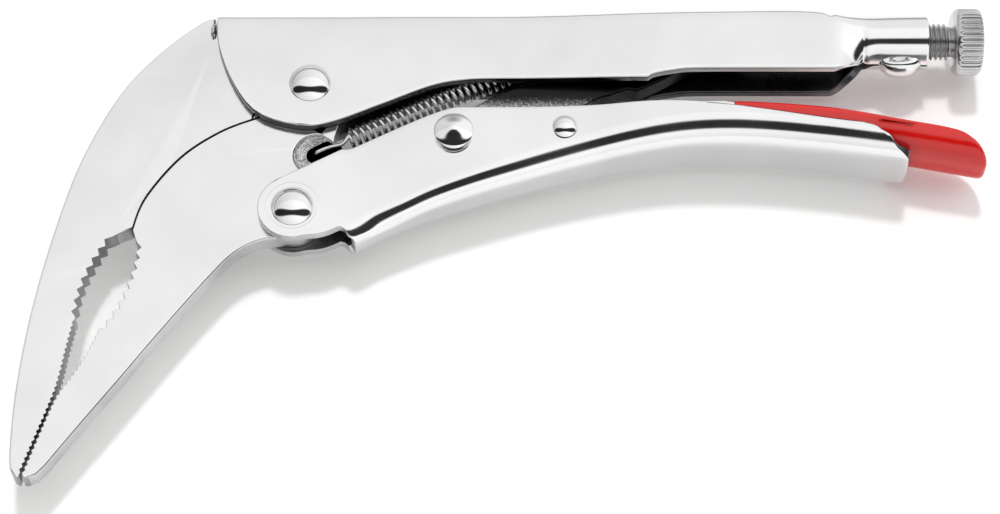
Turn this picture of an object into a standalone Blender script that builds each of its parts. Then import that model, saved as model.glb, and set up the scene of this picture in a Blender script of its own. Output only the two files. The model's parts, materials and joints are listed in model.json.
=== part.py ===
"""Locking pliers with long angled jaws, about 200 mm long, lying flat on one side.

The working plane is XY and the thickness runs along Z. Outlines are written in millimetres
from the jaw pivot; the finished assembly is moved so that its box stands on the origin.
"""

import math

import bmesh
import bpy
from mathutils import Matrix, Vector

MM = 0.001

# Pivots and axes, from the jaw pivot at (0, 0)
HANDLE_PIVOT = (-2.8, -29.2)
LINK_PIVOT = (30.2, -12.9)
LEVER_PIVOT = (53.2, -11.9)
LINK_END = (84.4, 12.6)
LINK_END_RADIUS = 2.6
SCREW_AXIS_Y = 12.6
SPRING_HOLE = (1.5, -16.0)
SPRING_ANCHOR = (52.6, 8.4)

# Thickness stack
JAW_THICKNESS = 4.6
SIDE_GAP = 0.2
SHEET = 2.0
FRONT_WIDTH = JAW_THICKNESS + 2 * (SIDE_GAP + SHEET)
UPPER_REAR_WIDTH = 12.2
LOWER_REAR_WIDTH = 18.0
TOUCH_GAP = 0.3

# Upper handle and collar
HANDLE_FRONT_X = -20.2
UPPER_BEND = 2.8
COLLAR_RADIUS = 5.95
COLLAR_START_X = 113.5
COLLAR_END_X = 130.3
COLLAR_NECK_RADIUS = 5.0
COLLAR_INNER_RADIUS = 3.6
COLLAR_TAPER = 4.5
SCREW_BORE = 4.15
LUG_WIDTH = 5.6
ANCHOR_TAB_WIDTH = 1.6
HOOK_HOLE_RADIUS = 1.0

# Jaws
HUB_RADIUS = 9.0
HANDLE_BOSS_RADIUS = 6.2
NOSE_RADIUS = 7.2
SPLIT_GAP = 0.3
COARSE_PITCH = 2.35
COARSE_DEPTH = 1.05
FINE_PITCH = 1.25
FINE_DEPTH = 0.45
SPRING_HOLE_RADIUS = 1.5

# Rivets: shank radius, head radius, head height
JAW_RIVET = (2.5, 4.4, 2.4)
HANDLE_RIVET = (2.5, 4.4, 2.4)
LINK_RIVET = (2.2, 4.15, 2.6)
LEVER_RIVET = (1.7, 2.6, 1.4)
HEAD_RIM = 0.3
WASHER_RADIUS = 3.8
LINK_HUB_RADIUS = 6.0
RUNNING_GAP = 0.1
HEAD_GAP = 0.1

# Release lever
LEVER_SHEET = 1.5
LEVER_FRONT_WIDTH = 8.6
LEVER_REAR_WIDTH = 11.3
LEVER_BEND = 3.2
GRIP_WIDTH = 13.2
GRIP_START_X = 88.5
GRIP_END_X = 141.4
COAT = 0.65
STEP_DOWN = COAT + TOUCH_GAP

# Adjusting screw and spring
SCREW_TIP_X = 90.2
THREAD_RADIUS = 3.9
THREAD_ROOT = 3.2
THREAD_PITCH = 25.4 / 24
KNOB_START_X = 135.6
KNOB_END_X = 141.8
KNOB_FLUTE_DEPTH = 0.4
KNOB_RADIUS = 7.1
KNOB_FLUTES = 34
SPRING_RADIUS = 1.9
SPRING_WIRE = 0.4
SPRING_TURNS = 21

# Blanks and through holes only have to be longer than what they cut
BLANK_DEPTH = 30.0
WIDE_BLANK_DEPTH = 40.0
THROUGH = 30.0
SKY_Y = 24.0

ROUND_STEPS = 32
RIVET_STEPS = 20
BEND_STEPS = 4
CURVE_STEPS = 3

STEEL = (0.80, 0.80, 0.81)
DARK_STEEL = (0.16, 0.16, 0.17)
ZINC = (0.62, 0.62, 0.60)
RED = (0.72, 0.03, 0.02)


# ---------------------------------------------------------------- helpers


def clear_scene():
    for obj in list(bpy.data.objects):
        bpy.data.objects.remove(obj, do_unlink=True)


def new_collection(name):
    collection = bpy.data.collections.new(name)
    bpy.context.scene.collection.children.link(collection)
    return collection


def new_material(name, colour, roughness, metallic):
    material = bpy.data.materials.new(name)
    material.use_nodes = True
    shader = material.node_tree.nodes["Principled BSDF"]
    shader.inputs["Base Color"].default_value = (*colour, 1.0)
    shader.inputs["Roughness"].default_value = roughness
    shader.inputs["Metallic"].default_value = metallic
    return material


def smooth(points, steps=CURVE_STEPS):
    """A Catmull-Rom curve through the points, as a list of (x, y)."""
    ends = [points[0], *points, points[-1]]
    curve = []
    for i in range(len(points) - 1):
        p0, p1, p2, p3 = (Vector(p) for p in ends[i : i + 4])
        for k in range(steps):
            t = k / steps
            step = p1 + (p2 - p0) * (t / 2)
            step += (2 * p0 - 5 * p1 + 4 * p2 - p3) * (t * t / 2)
            step += (3 * p1 - p0 - 3 * p2 + p3) * (t * t * t / 2)
            curve.append(tuple(step))
    curve.append(tuple(points[-1]))
    return curve


def arc(centre, radius, start_deg, end_deg, steps=12):
    angles = [math.radians(start_deg + (end_deg - start_deg) * k / steps) for k in range(steps + 1)]
    return [(centre[0] + radius * math.cos(a), centre[1] + radius * math.sin(a)) for a in angles]


def along(path, distance):
    """The point at this distance along the path, and the path's direction there."""
    for a, b in zip(path, path[1:]):
        run = Vector(b) - Vector(a)
        if distance <= run.length:
            return Vector(a) + run.normalized() * distance, run.normalized()
        distance -= run.length
    return Vector(path[-1]), (Vector(path[-1]) - Vector(path[-2])).normalized()


def toothed(path, pitch, depth):
    """The path with a notch cut to its right between each pair of tooth tips."""
    length = sum((Vector(b) - Vector(a)).length for a, b in zip(path, path[1:]))
    count = round(length / pitch)
    teeth = []
    for k in range(count):
        tip, _ = along(path, length * k / count)
        middle, direction = along(path, length * (k + 0.5) / count)
        teeth.append(tuple(tip))
        teeth.append((middle.x + depth * direction.y, middle.y - depth * direction.x))
    teeth.append(tuple(path[-1]))
    return teeth


def shifted(points, dx, dy=0.0):
    return [(x + dx, y + dy) for x, y in points]


def spread(x, table):
    """A smooth step between two values: table is (x0, value0, x1, value1)."""
    x0, value0, x1, value1 = table
    t = min(1.0, max(0.0, (x - x0) / (x1 - x0)))
    return value0 + (value1 - value0) * t * t * (3 - 2 * t)


def read_curve(curve, x):
    """The height at x of a curve whose x only grows."""
    for (x0, y0), (x1, y1) in zip(curve, curve[1:]):
        if x <= x1:
            return y0 + (y1 - y0) * (x - x0) / (x1 - x0)
    return curve[-1][1]


class Builder:
    """Makes objects in the part's collection, all parented to one root empty."""

    def __init__(self):
        self.parts = new_collection("locking_pliers")
        self.cutters = new_collection("cutters")
        self.root = bpy.data.objects.new("pliers_root", None)
        self.parts.objects.link(self.root)

    def add(self, name, mesh, material, parent=None):
        obj = bpy.data.objects.new(name, mesh)
        if material is None:
            self.cutters.objects.link(obj)
            obj.hide_render = True
            obj.display_type = "WIRE"
        else:
            self.parts.objects.link(obj)
            mesh.materials.append(material)
        obj.parent = parent or self.root
        return obj

    def pivot(self, name, point):
        """An empty on a joint's axis, for the pieces that turn about it."""
        empty = bpy.data.objects.new(name, None)
        self.parts.objects.link(empty)
        empty.parent = self.root
        empty.location = (point[0] * MM, point[1] * MM, 0.0)
        return empty

    def from_bmesh(self, name, bm, material, pivot=None):
        """Points are from the jaw pivot, and are stored from the parent empty's own place."""
        bmesh.ops.recalc_face_normals(bm, faces=bm.faces)
        bmesh.ops.scale(bm, vec=(MM, MM, MM), verts=bm.verts)
        if pivot is not None:
            bmesh.ops.translate(bm, vec=-pivot.location, verts=bm.verts)
        mesh = bpy.data.meshes.new(name)
        bm.to_mesh(mesh)
        bm.free()
        return self.add(name, mesh, material, pivot)

    def plate(self, name, outline, thickness, material, z=0.0, pivot=None):
        """A flat outline, made by a filled 2D curve and stored as a mesh."""
        curve = bpy.data.curves.new(name, "CURVE")
        curve.dimensions = "2D"
        curve.fill_mode = "BOTH"
        curve.extrude = thickness / 2
        spline = curve.splines.new("POLY")
        spline.points.add(len(outline) - 1)
        for point, (x, y) in zip(spline.points, outline):
            point.co = (x, y, 0.0, 1.0)
        spline.use_cyclic_u = True
        guide = bpy.data.objects.new(name + "_outline", curve)
        self.cutters.objects.link(guide)
        evaluated = guide.evaluated_get(bpy.context.evaluated_depsgraph_get())
        bm = bmesh.new()
        bm.from_mesh(bpy.data.meshes.new_from_object(evaluated))
        bpy.data.objects.remove(guide, do_unlink=True)
        bmesh.ops.remove_doubles(bm, verts=bm.verts, dist=0.001)
        bmesh.ops.translate(bm, vec=(0, 0, z), verts=bm.verts)
        return self.from_bmesh(name, bm, material, pivot)

    def loft(self, name, rings, material, pivot=None):
        """A closed solid through rings of equally many points, flat at both ends."""
        bm = bmesh.new()
        rows = [[bm.verts.new(point) for point in ring] for ring in rings]
        count = len(rings[0])
        for low, high in zip(rows, rows[1:]):
            for k in range(count):
                bm.faces.new((low[k], low[(k + 1) % count], high[(k + 1) % count], high[k]))
        bm.faces.new(reversed(rows[0]))
        bm.faces.new(rows[-1])
        return self.from_bmesh(name, bm, material, pivot)

    def turned(self, name, profile, material, axis="Z", pivot=None, steps=ROUND_STEPS):
        """A profile of (radius, height), turned round the axis. Its parent sits on the axis."""
        bm = bmesh.new()
        verts = [bm.verts.new((radius * MM, 0.0, height * MM)) for radius, height in profile]
        for a, b in zip(verts, verts[1:]):
            bm.edges.new((a, b))
        if profile[0][0] > 0:
            bm.edges.new((verts[-1], verts[0]))
        mesh = bpy.data.meshes.new(name)
        bm.to_mesh(mesh)
        bm.free()
        obj = self.add(name, mesh, material, pivot)
        screw = obj.modifiers.new("turn", "SCREW")
        screw.axis = "Z"
        screw.steps = steps
        screw.render_steps = steps
        screw.use_merge_vertices = True
        screw.merge_threshold = 0.00001
        if axis == "X":
            obj.rotation_euler = (0.0, math.pi / 2, 0.0)
        return obj

    def cylinder(self, name, centre, radius, depth, axis="Z", material=None, pivot=None):
        bm = bmesh.new()
        bmesh.ops.create_cone(
            bm, cap_ends=True, segments=ROUND_STEPS, radius1=radius, radius2=radius, depth=depth
        )
        if axis == "X":
            bmesh.ops.rotate(bm, matrix=Matrix.Rotation(math.pi / 2, 3, "Y"), verts=bm.verts)
        bmesh.ops.translate(bm, vec=centre, verts=bm.verts)
        return self.from_bmesh(name, bm, material, pivot)


def combine(obj, other, operation):
    modifier = obj.modifiers.new(f"{operation.lower()}_{other.name}", "BOOLEAN")
    modifier.operation = operation
    modifier.solver = "EXACT"
    modifier.object = other


def shade(obj, angle=35):
    obj.data.shade_smooth()
    obj.data.set_sharp_from_angle(angle=math.radians(angle))


def channel_ring(x, web_y, open_y, width, bend, wall):
    """A U section at x: its web at web_y, its two walls reaching open_y, bends rounded."""
    side = 1.0 if open_y > web_y else -1.0
    half = width / 2
    outer = []
    inner = []
    for k in range(BEND_STEPS + 1):
        angle = math.pi / 2 * k / BEND_STEPS
        outer.append((bend * (1 - math.sin(angle)), half - bend + bend * math.cos(angle)))
        tight = bend - wall
        inner.append((wall + tight * (1 - math.sin(angle)), half - bend + tight * math.cos(angle)))
    rim = abs(open_y - web_y)
    outer = [(rim, half), *outer]
    inner = [(rim, half - wall), *inner]
    path = outer + [(y, -z) for y, z in reversed(outer)]
    path += [(y, -z) for y, z in inner] + list(reversed(inner))
    return [(x, web_y + side * y, z) for y, z in path]


def rivet_profile(size, grip):
    """A rivet through a stack of this thickness, with a domed head at each end."""
    shank, head, height = size
    top = grip / 2 + HEAD_GAP
    dome = [(head * math.cos(a), top + HEAD_RIM + (height - HEAD_RIM) * math.sin(a))
            for a in (math.pi / 2 * k / 4 for k in range(4, -1, -1))]
    upper = [*dome, (head, top), (shank, top)]
    upper[0] = (0.0, upper[0][1])
    return upper + [(r, -h) for r, h in reversed(upper)]


# ---------------------------------------------------------------- driving curves

SPLIT_LINE = smooth([
    (-11.0, -7.2), (-18.6, -10.6), (-26.6, -16.8), (-33.3, -26.2), (-35.6, -33.5),
])
FIXED_OUTER = smooth([
    (-20.7, 17.3), (-24.0, 15.9), (-32.1, 8.7), (-40.0, -1.5), (-47.3, -17.8),
    (-52.2, -36.7), (-55.3, -54.0), (-56.9, -70.0), (-57.1, -82.0), (-56.7, -86.5),
])
MOVING_OUTER = smooth([
    (-49.9, -86.1), (-43.4, -77.0), (-36.1, -67.0), (-28.6, -56.6), (-19.2, -44.1),
    (-14.3, -38.7), (-9.3, -36.0), (-4.2, -35.3),
])
FIXED_COARSE = smooth([(-39.6, -35.2), (-42.9, -41.3), (-45.0, -47.2), (-45.9, -53.4)])
FIXED_FINE = smooth([
    (-46.0, -54.0), (-47.1, -60.0), (-48.2, -66.9), (-49.6, -72.3), (-54.5, -87.3),
])
MOVING_COARSE = smooth([
    (-34.5, -36.4), (-34.9, -41.0), (-36.3, -46.5), (-38.4, -51.8), (-41.0, -56.0),
])
MOVING_FINE = smooth([
    (-41.3, -56.4), (-43.8, -62.4), (-46.6, -67.4), (-49.3, -72.3), (-54.2, -87.3),
])

UPPER_EDGE = smooth([
    (HANDLE_FRONT_X, 17.6), (-19.7, 9.6), (-16.1, -0.1), (-10.8, -7.2), (-1.8, -10.2),
    (5.0, -9.3), (15.3, -5.0), (25.7, -0.6), (33.0, 0.8), (40.0, 1.0),
])
UPPER_TAIL = smooth([(113.0, 2.7), (115.8, 4.0), (118.0, 6.4), (120.5, 8.0)])

LOWER_WEB = smooth([
    (8.0, -37.6), (20.0, -31.4), (29.0, -27.4), (50.0, -20.6), (71.0, -15.6),
    (87.0, -14.4), (105.0, -15.7), (126.0, -18.7),
])
LOWER_TOP = smooth([
    (8.7, -15.9), (20.5, -10.2), (29.3, -6.9), (36.0, -6.8), (58.0, -6.9),
    (70.8, -6.3), (81.0, -6.8), (94.1, -8.6), (108.6, -11.0), (114.6, -11.8),
])
LOWER_END = smooth([
    (114.6, -11.8), (117.4, -12.8), (119.3, -14.8), (121.2, -16.5), (124.2, -18.2), (125.6, -22.0),
])

LEVER_WEB = smooth([
    (44.0, -18.2), (55.0, -16.4), (71.0, -12.9), (88.0, -11.1), (104.0, -12.2),
    (123.0, -14.8), (132.0, -16.4), (144.0, -18.7),
])
LEVER_TOP = smooth([
    (47.5, -14.0), (53.0, -8.2), (60.0, -7.4), (66.0, -5.6), (76.0, -5.0), (92.0, -5.1),
    (109.0, -6.5), (124.0, -9.4), (133.0, -11.4), (137.8, -14.3), (140.4, -18.4), (141.2, -22.0),
])


def upper_width(x):
    return spread(x, (36.0, FRONT_WIDTH, 78.0, UPPER_REAR_WIDTH))


def lower_width(x):
    near = spread(x, (8.0, FRONT_WIDTH, 40.0, 12.6))
    return near + spread(x, (38.0, 0.0, 90.0, LOWER_REAR_WIDTH - 12.6))


def lower_bend(x):
    return spread(x, (8.0, 4.0, 88.0, 5.4))


def lever_width(x):
    return spread(x, (54.0, LEVER_FRONT_WIDTH, 82.0, LEVER_REAR_WIDTH))


# ---------------------------------------------------------------- sub-parts


def fixed_jaw(make, material):
    """Flat plate held in the front of the upper handle, with the outer half of the teeth."""
    tip = [(-55.9, -87.9), (-54.9, -88.4)]
    inner = toothed(list(reversed(FIXED_FINE)), FINE_PITCH, -FINE_DEPTH)
    inner += toothed(list(reversed(FIXED_COARSE)), COARSE_PITCH, -COARSE_DEPTH)
    split = shifted(list(reversed(SPLIT_LINE)), -SPLIT_GAP / 2, SPLIT_GAP / 2)
    seat = arc((0, 0), HUB_RADIUS + TOUCH_GAP, 208, 15, 24)
    tail = [(15.0, 3.4), (23.5, 6.0), (24.0, 15.1), (-19.6, 15.1), (-20.6, 15.1)]
    outline = FIXED_OUTER + tip + inner + [(-38.6, -34.6)] + split + seat + tail
    return make.plate("fixed_jaw", outline, JAW_THICKNESS, material)


def moving_jaw(make, material, pivot):
    """Flat plate that turns on the jaw rivet, with a hole for the spring."""
    hub = arc((0, 0), HUB_RADIUS, -15, 216, 24)
    split = shifted(SPLIT_LINE, SPLIT_GAP / 2, -SPLIT_GAP / 2)
    inner = toothed(MOVING_COARSE, COARSE_PITCH, -COARSE_DEPTH)
    inner += toothed(MOVING_FINE, FINE_PITCH, -FINE_DEPTH)
    tip = [(-53.9, -88.4), (-52.8, -88.4), (-51.4, -87.7)]
    boss = arc(HANDLE_PIVOT, HANDLE_BOSS_RADIUS, -100, 10, 12)
    side = [(5.2, -20.0), (5.2, -12.0), (6.2, -8.0)]
    outline = hub + split + inner + tip + MOVING_OUTER + boss + side
    jaw = make.plate("moving_jaw", outline, JAW_THICKNESS, material, pivot=pivot)
    for name, centre, radius in (
        ("jaw_bore", (0.0, 0.0), JAW_RIVET[0] + RUNNING_GAP),
        ("boss_bore", HANDLE_PIVOT, HANDLE_RIVET[0] + RUNNING_GAP),
        ("spring_bore", SPRING_HOLE, SPRING_HOLE_RADIUS),
    ):
        cutter = make.cylinder(name, (*centre, 0.0), radius, 2 * JAW_THICKNESS)
        combine(jaw, cutter, "DIFFERENCE")
    return jaw


def upper_handle(make, material):
    """Pressed channel, open downwards, that grows into a rolled collar at its rear."""
    stops = [-24.0, 0.0, 20.0, 36.0, 44.0, 52.0, 60.0, 68.0, 78.0, 100.0, 110.0, 114.0, 119.0]
    crown = smooth([
        (-24.0, 17.3), (20.0, 17.7), (60.0, 17.7), (95.0, 18.2),
        (108.0, 18.1), (114.0, 17.3), (119.0, 17.3),
    ])
    rings = [
        channel_ring(x, read_curve(crown, x), -14.0, upper_width(x), UPPER_BEND, SHEET)
        for x in stops
    ]
    handle = make.loft("upper_handle", rings, material)
    step = [(70.8, 0.6), (72.0, 1.4), (76.0, 2.2), (82.0, 2.7)]
    profile = UPPER_EDGE + step + UPPER_TAIL + [(120.5, SKY_Y), (HANDLE_FRONT_X, SKY_Y)]
    blank = make.plate("upper_blank", profile, BLANK_DEPTH, None)
    combine(handle, blank, "INTERSECT")

    collar = make.turned(
        "collar_ring",
        [
            (COLLAR_RADIUS, COLLAR_END_X), (COLLAR_RADIUS, COLLAR_START_X + COLLAR_TAPER),
            (COLLAR_NECK_RADIUS, COLLAR_START_X), (COLLAR_INNER_RADIUS, COLLAR_START_X),
            (COLLAR_INNER_RADIUS, COLLAR_END_X),
        ],
        None, axis="X", pivot=make.screw_line,
    )
    lug = make.plate("collar_lug", smooth([
        (119.4, 9.0), (119.8, 6.4), (122.0, 4.9), (125.5, 4.6), (128.0, 5.6), (129.6, 8.4),
    ]) + [(129.6, 10.5), (119.4, 10.5)], LUG_WIDTH, None)
    tab = make.plate("anchor_tab", [
        (50.6, 16.4), (50.6, 8.4), (51.6, 6.6), (53.6, 6.6), (54.6, 8.4), (54.6, 16.4),
    ], ANCHOR_TAB_WIDTH, None)
    for extra in (collar, lug, tab):
        combine(handle, extra, "UNION")
    bore_middle = (SCREW_TIP_X + COLLAR_END_X) / 2
    bore_depth = COLLAR_END_X - SCREW_TIP_X + 4.0
    bore = make.cylinder("screw_bore", (bore_middle, SCREW_AXIS_Y, 0.0), SCREW_BORE, bore_depth, axis="X")
    pin_hole = make.cylinder("jaw_rivet_hole", (0.0, 0.0, 0.0), JAW_RIVET[0] + RUNNING_GAP, THROUGH)
    hook_hole = make.cylinder("hook_hole", (*SPRING_ANCHOR, 0.0), HOOK_HOLE_RADIUS, 2 * ANCHOR_TAB_WIDTH)
    for cutter in (bore, pin_hole, hook_hole):
        combine(handle, cutter, "DIFFERENCE")
    return handle


def lower_handle(make, material, pivot):
    """Curved channel, open towards the upper handle, that widens to the rear."""
    stops = [8.6, 14.0, 20.0, 26.0, 32.0, 40.0, 48.0, 56.0, 64.0]
    stops += [72.0, 80.0, 88.0, 97.0, 106.0, 116.0, 126.0]
    front = [channel_ring(x, -48.0, 6.0, FRONT_WIDTH, lower_bend(8.0), SHEET) for x in (-12.0, 8.55)]
    body = [
        channel_ring(x, read_curve(LOWER_WEB, x), 6.0, lower_width(x), lower_bend(x), SHEET)
        for x in stops
    ]
    handle = make.loft("lower_handle", front + body, material, pivot)
    nose = arc(HANDLE_PIVOT, NOSE_RADIUS, 116, 292, 20)
    profile = nose + [(5.0, -35.9), (8.4, -34.6), (8.6, -37.1), (40.0, -32.0), (123.4, -26.0)]
    profile += list(reversed(LOWER_END))[:-1] + list(reversed(LOWER_TOP))
    blank = make.plate("lower_blank", profile, WIDE_BLANK_DEPTH, None)
    combine(handle, blank, "INTERSECT")
    for name, centre, size in (
        ("boss_rivet_hole", HANDLE_PIVOT, HANDLE_RIVET),
        ("link_rivet_hole", LINK_PIVOT, LINK_RIVET),
        ("lever_rivet_hole", LEVER_PIVOT, LEVER_RIVET),
    ):
        cutter = make.cylinder(name, (*centre, 0.0), size[0] + RUNNING_GAP, THROUGH)
        combine(handle, cutter, "DIFFERENCE")
    return handle


def toggle_link(make, material, pivot):
    """Flat bar from the lower handle up to the screw's tip."""
    top = smooth([(33.0, -5.4), (41.0, -0.6), (52.0, 2.6), (66.0, 8.6), (80.0, 14.1)])
    end = arc(LINK_END, LINK_END_RADIUS, 100, -60, 8)
    under = smooth([
        (84.0, 8.0), (76.0, 3.2), (69.0, -0.4), (66.5, -0.3), (63.0, -1.6), (58.0, -3.8), (46.0, -13.0),
    ])
    hub = arc(LINK_PIVOT, LINK_HUB_RADIUS, -40, -250, 14)
    bar = make.plate("toggle_link", top + end + under + hub, JAW_THICKNESS, material, pivot=pivot)
    bore = make.cylinder("link_bore", (*LINK_PIVOT, 0.0), LINK_RIVET[0] + RUNNING_GAP, THROUGH)
    combine(bar, bore, "DIFFERENCE")
    return bar


def lever_ring(x, grow, wall):
    """The lever's section at x, thickened outwards by grow on its web and its walls."""
    width = lever_width(x) + 2 * grow
    return channel_ring(x, read_curve(LEVER_WEB, x) - grow, 4.0, width, LEVER_BEND + grow, wall)


def release_lever(make, material, pivot):
    """Steel channel inside the lower handle, with a cross wall that lifts the link."""
    stops = [44.0, 54.0, 61.0, 68.0, 75.0, 82.0, 88.0, 96.0, 104.0, 114.0, 124.0, 132.0, 138.0]
    lever = make.loft("release_lever", [lever_ring(x, 0.0, LEVER_SHEET) for x in stops], material, pivot)
    step_x = GRIP_START_X - 1.0
    step_y = read_curve(LEVER_TOP, step_x)
    profile = [(x, y) for x, y in LEVER_TOP if x < step_x]
    profile += [(step_x, step_y), (step_x, step_y - STEP_DOWN)]
    profile += [(x, y - STEP_DOWN) for x, y in LEVER_TOP if GRIP_START_X < x < 134.0]
    profile += [(135.0, -13.6), (136.4, -15.6), (137.0, -24.0), (47.5, -24.0)]
    blank = make.plate("lever_blank", profile, BLANK_DEPTH, None)
    combine(lever, blank, "INTERSECT")
    pusher = make.plate("lever_pusher", [
        (60.6, -14.2), (60.9, -6.4), (62.0, -4.9), (64.4, -4.4), (65.4, -5.4), (65.6, -12.9),
    ], LEVER_FRONT_WIDTH - 2.0, None)
    combine(lever, pusher, "UNION")
    hole = make.cylinder("lever_bore", (*LEVER_PIVOT, 0.0), LEVER_RIVET[0] + RUNNING_GAP, THROUGH)
    combine(lever, hole, "DIFFERENCE")
    return lever


def lever_grip(make, material, pivot):
    """Plastic coat round the rear of the lever, open at its front."""
    stops = [GRIP_START_X, 96.0, 104.0, 114.0, 124.0, 132.0, 138.0, GRIP_END_X]
    grow = (GRIP_WIDTH - LEVER_REAR_WIDTH) / 2
    wall = LEVER_SHEET + grow + COAT + TOUCH_GAP
    grip = make.loft("lever_grip", [lever_ring(x, grow, wall) for x in stops], material, pivot)
    profile = [(x, y) for x, y in LEVER_TOP if x > GRIP_START_X - 4]
    profile += [(GRIP_START_X - 1, -26.0), (GRIP_START_X - 1, -4.0)]
    blank = make.plate("grip_blank", profile, BLANK_DEPTH, None)
    combine(grip, blank, "INTERSECT")
    inside = [80.0, 88.0, 96.0, 104.0, 114.0, 124.0, 132.0, 137.6]
    pocket = make.loft(
        "grip_pocket", [lever_ring(x, TOUCH_GAP, LEVER_SHEET + 2 * TOUCH_GAP) for x in inside], None
    )
    rim = [(x, y - STEP_DOWN + TOUCH_GAP) for x, y in LEVER_TOP if 80.0 < x < 134.0]
    rim += [(135.6, -13.4), (137.5, -15.8), (137.6, -26.0), (80.0, -26.0)]
    shape = make.plate("pocket_blank", rim, BLANK_DEPTH, None)
    combine(pocket, shape, "INTERSECT")
    combine(grip, pocket, "DIFFERENCE")
    return grip


def rivet(make, name, size, grip, material, pivot):
    obj = make.turned(name, rivet_profile(size, grip), material, pivot=pivot, steps=RIVET_STEPS)
    shade(obj)
    return obj


def link_washers(make, material, pivot):
    """Rings that fill the space between the link and the wider lower handle."""
    low = JAW_THICKNESS / 2 + SIDE_GAP
    high = lower_width(LINK_PIVOT[0] - WASHER_RADIUS) / 2 - SHEET - SIDE_GAP
    bore = LINK_RIVET[0] + RUNNING_GAP
    for name, side in (("link_washer_front", 1), ("link_washer_back", -1)):
        profile = [(WASHER_RADIUS, high), (WASHER_RADIUS, low), (bore, low), (bore, high)]
        ring = make.turned(name, profile, material, pivot=pivot, steps=RIVET_STEPS)
        if side < 0:
            ring.rotation_euler = (math.pi, 0.0, 0.0)
        shade(ring)


def weld_beads(make, material):
    """A small bead on each face where the fixed jaw meets the handle's front."""
    for name, side in (("weld_bead_front", 1), ("weld_bead_back", -1)):
        bm = bmesh.new()
        bmesh.ops.create_uvsphere(bm, u_segments=12, v_segments=8, radius=1.0)
        bmesh.ops.scale(bm, vec=(0.55, 1.6, 0.5), verts=bm.verts)
        place = (HANDLE_FRONT_X - 0.75, 13.8, side * (JAW_THICKNESS / 2 + 0.6))
        bmesh.ops.translate(bm, vec=place, verts=bm.verts)
        shade(make.from_bmesh(name, bm, material))


def tension_spring(make, material):
    """One wire: a hook through the moving jaw, the coil, and a hook through the anchor tab."""
    start = Vector((*SPRING_HOLE, 0.0))
    end = Vector((*SPRING_ANCHOR, 0.0))
    axis = (end - start).normalized()
    across = Vector((-axis.y, axis.x, 0.0))
    up = Vector((0.0, 0.0, 1.0))
    coil_start = start + axis * 7.4
    coil_end = end - axis * 4.4
    run = (coil_end - coil_start).length
    hook_reach = 0.4
    path = [start + axis * hook_reach - up * 3.0, start + axis * hook_reach + up * 3.0]
    for reach, height in ((1.9, 3.2), (4.6, 2.6), (6.4, SPRING_RADIUS)):
        path.append(start + axis * reach + up * height)
    per_turn = 8
    for k in range(SPRING_TURNS * per_turn + 1):
        angle = 2 * math.pi * k / per_turn
        centre = coil_start + axis * (run * k / (SPRING_TURNS * per_turn))
        path.append(centre + SPRING_RADIUS * (up * math.cos(angle) + across * math.sin(angle)))
    path += [coil_end + axis * 1.4 + up * 1.8, end - axis * 1.6 + up * 1.6]
    path += [end + up * 1.4, end - up * 1.4]
    curve = bpy.data.curves.new("tension_spring", "CURVE")
    curve.dimensions = "3D"
    curve.bevel_depth = SPRING_WIRE * MM
    curve.bevel_resolution = 1
    curve.use_fill_caps = True
    spline = curve.splines.new("POLY")
    spline.points.add(len(path) - 1)
    for point, place in zip(spline.points, path):
        point.co = (*(place * MM), 1.0)
    curve.materials.append(material)
    obj = bpy.data.objects.new("tension_spring", curve)
    make.parts.objects.link(obj)
    obj.parent = make.root
    return obj


def adjusting_screw(make, material, pivot):
    """Shank with a rounded tip and thread crests along the stretch outside the handle."""
    profile = [(0.0, KNOB_START_X - TOUCH_GAP), (THREAD_ROOT, KNOB_START_X - TOUCH_GAP)]
    crest = KNOB_START_X - 1.2
    while crest > COLLAR_END_X - 3.0:
        profile += [(THREAD_ROOT, crest + THREAD_PITCH / 2), (THREAD_RADIUS, crest)]
        crest -= THREAD_PITCH
    profile += [(THREAD_RADIUS, SCREW_TIP_X + 2.0), (2.6, SCREW_TIP_X + 0.4), (0.0, SCREW_TIP_X)]
    screw = make.turned("adjusting_screw", profile, material, axis="X", pivot=pivot, steps=20)
    shade(screw)
    return screw


def screw_knob(make, material, pivot):
    """Fluted knob with chamfered ends."""
    rings = []
    for x, inset in (
        (KNOB_START_X, 1.1), (KNOB_START_X + 1.0, 0.0), (KNOB_END_X - 1.2, 0.0), (KNOB_END_X, 1.4),
    ):
        ring = []
        for k in range(2 * KNOB_FLUTES):
            angle = math.pi * k / KNOB_FLUTES
            radius = KNOB_RADIUS - inset - (KNOB_FLUTE_DEPTH if k % 2 and inset == 0.0 else 0.0)
            ring.append((x, SCREW_AXIS_Y + radius * math.cos(angle), radius * math.sin(angle)))
        rings.append(ring)
    return make.loft("screw_knob", rings, material, pivot)


def stand_on_origin(make):
    """Moves the assembly so that the bottom centre of its box is at the origin."""
    graph = bpy.context.evaluated_depsgraph_get()
    corners = []
    for obj in make.parts.objects:
        if obj.type == "MESH":
            shape = obj.evaluated_get(graph)
            corners += [shape.matrix_world @ Vector(corner) for corner in shape.bound_box]
    low = [min(corner[k] for corner in corners) for k in range(3)]
    high = [max(corner[k] for corner in corners) for k in range(3)]
    make.root.location = (-(low[0] + high[0]) / 2, -(low[1] + high[1]) / 2, -low[2])


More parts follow.
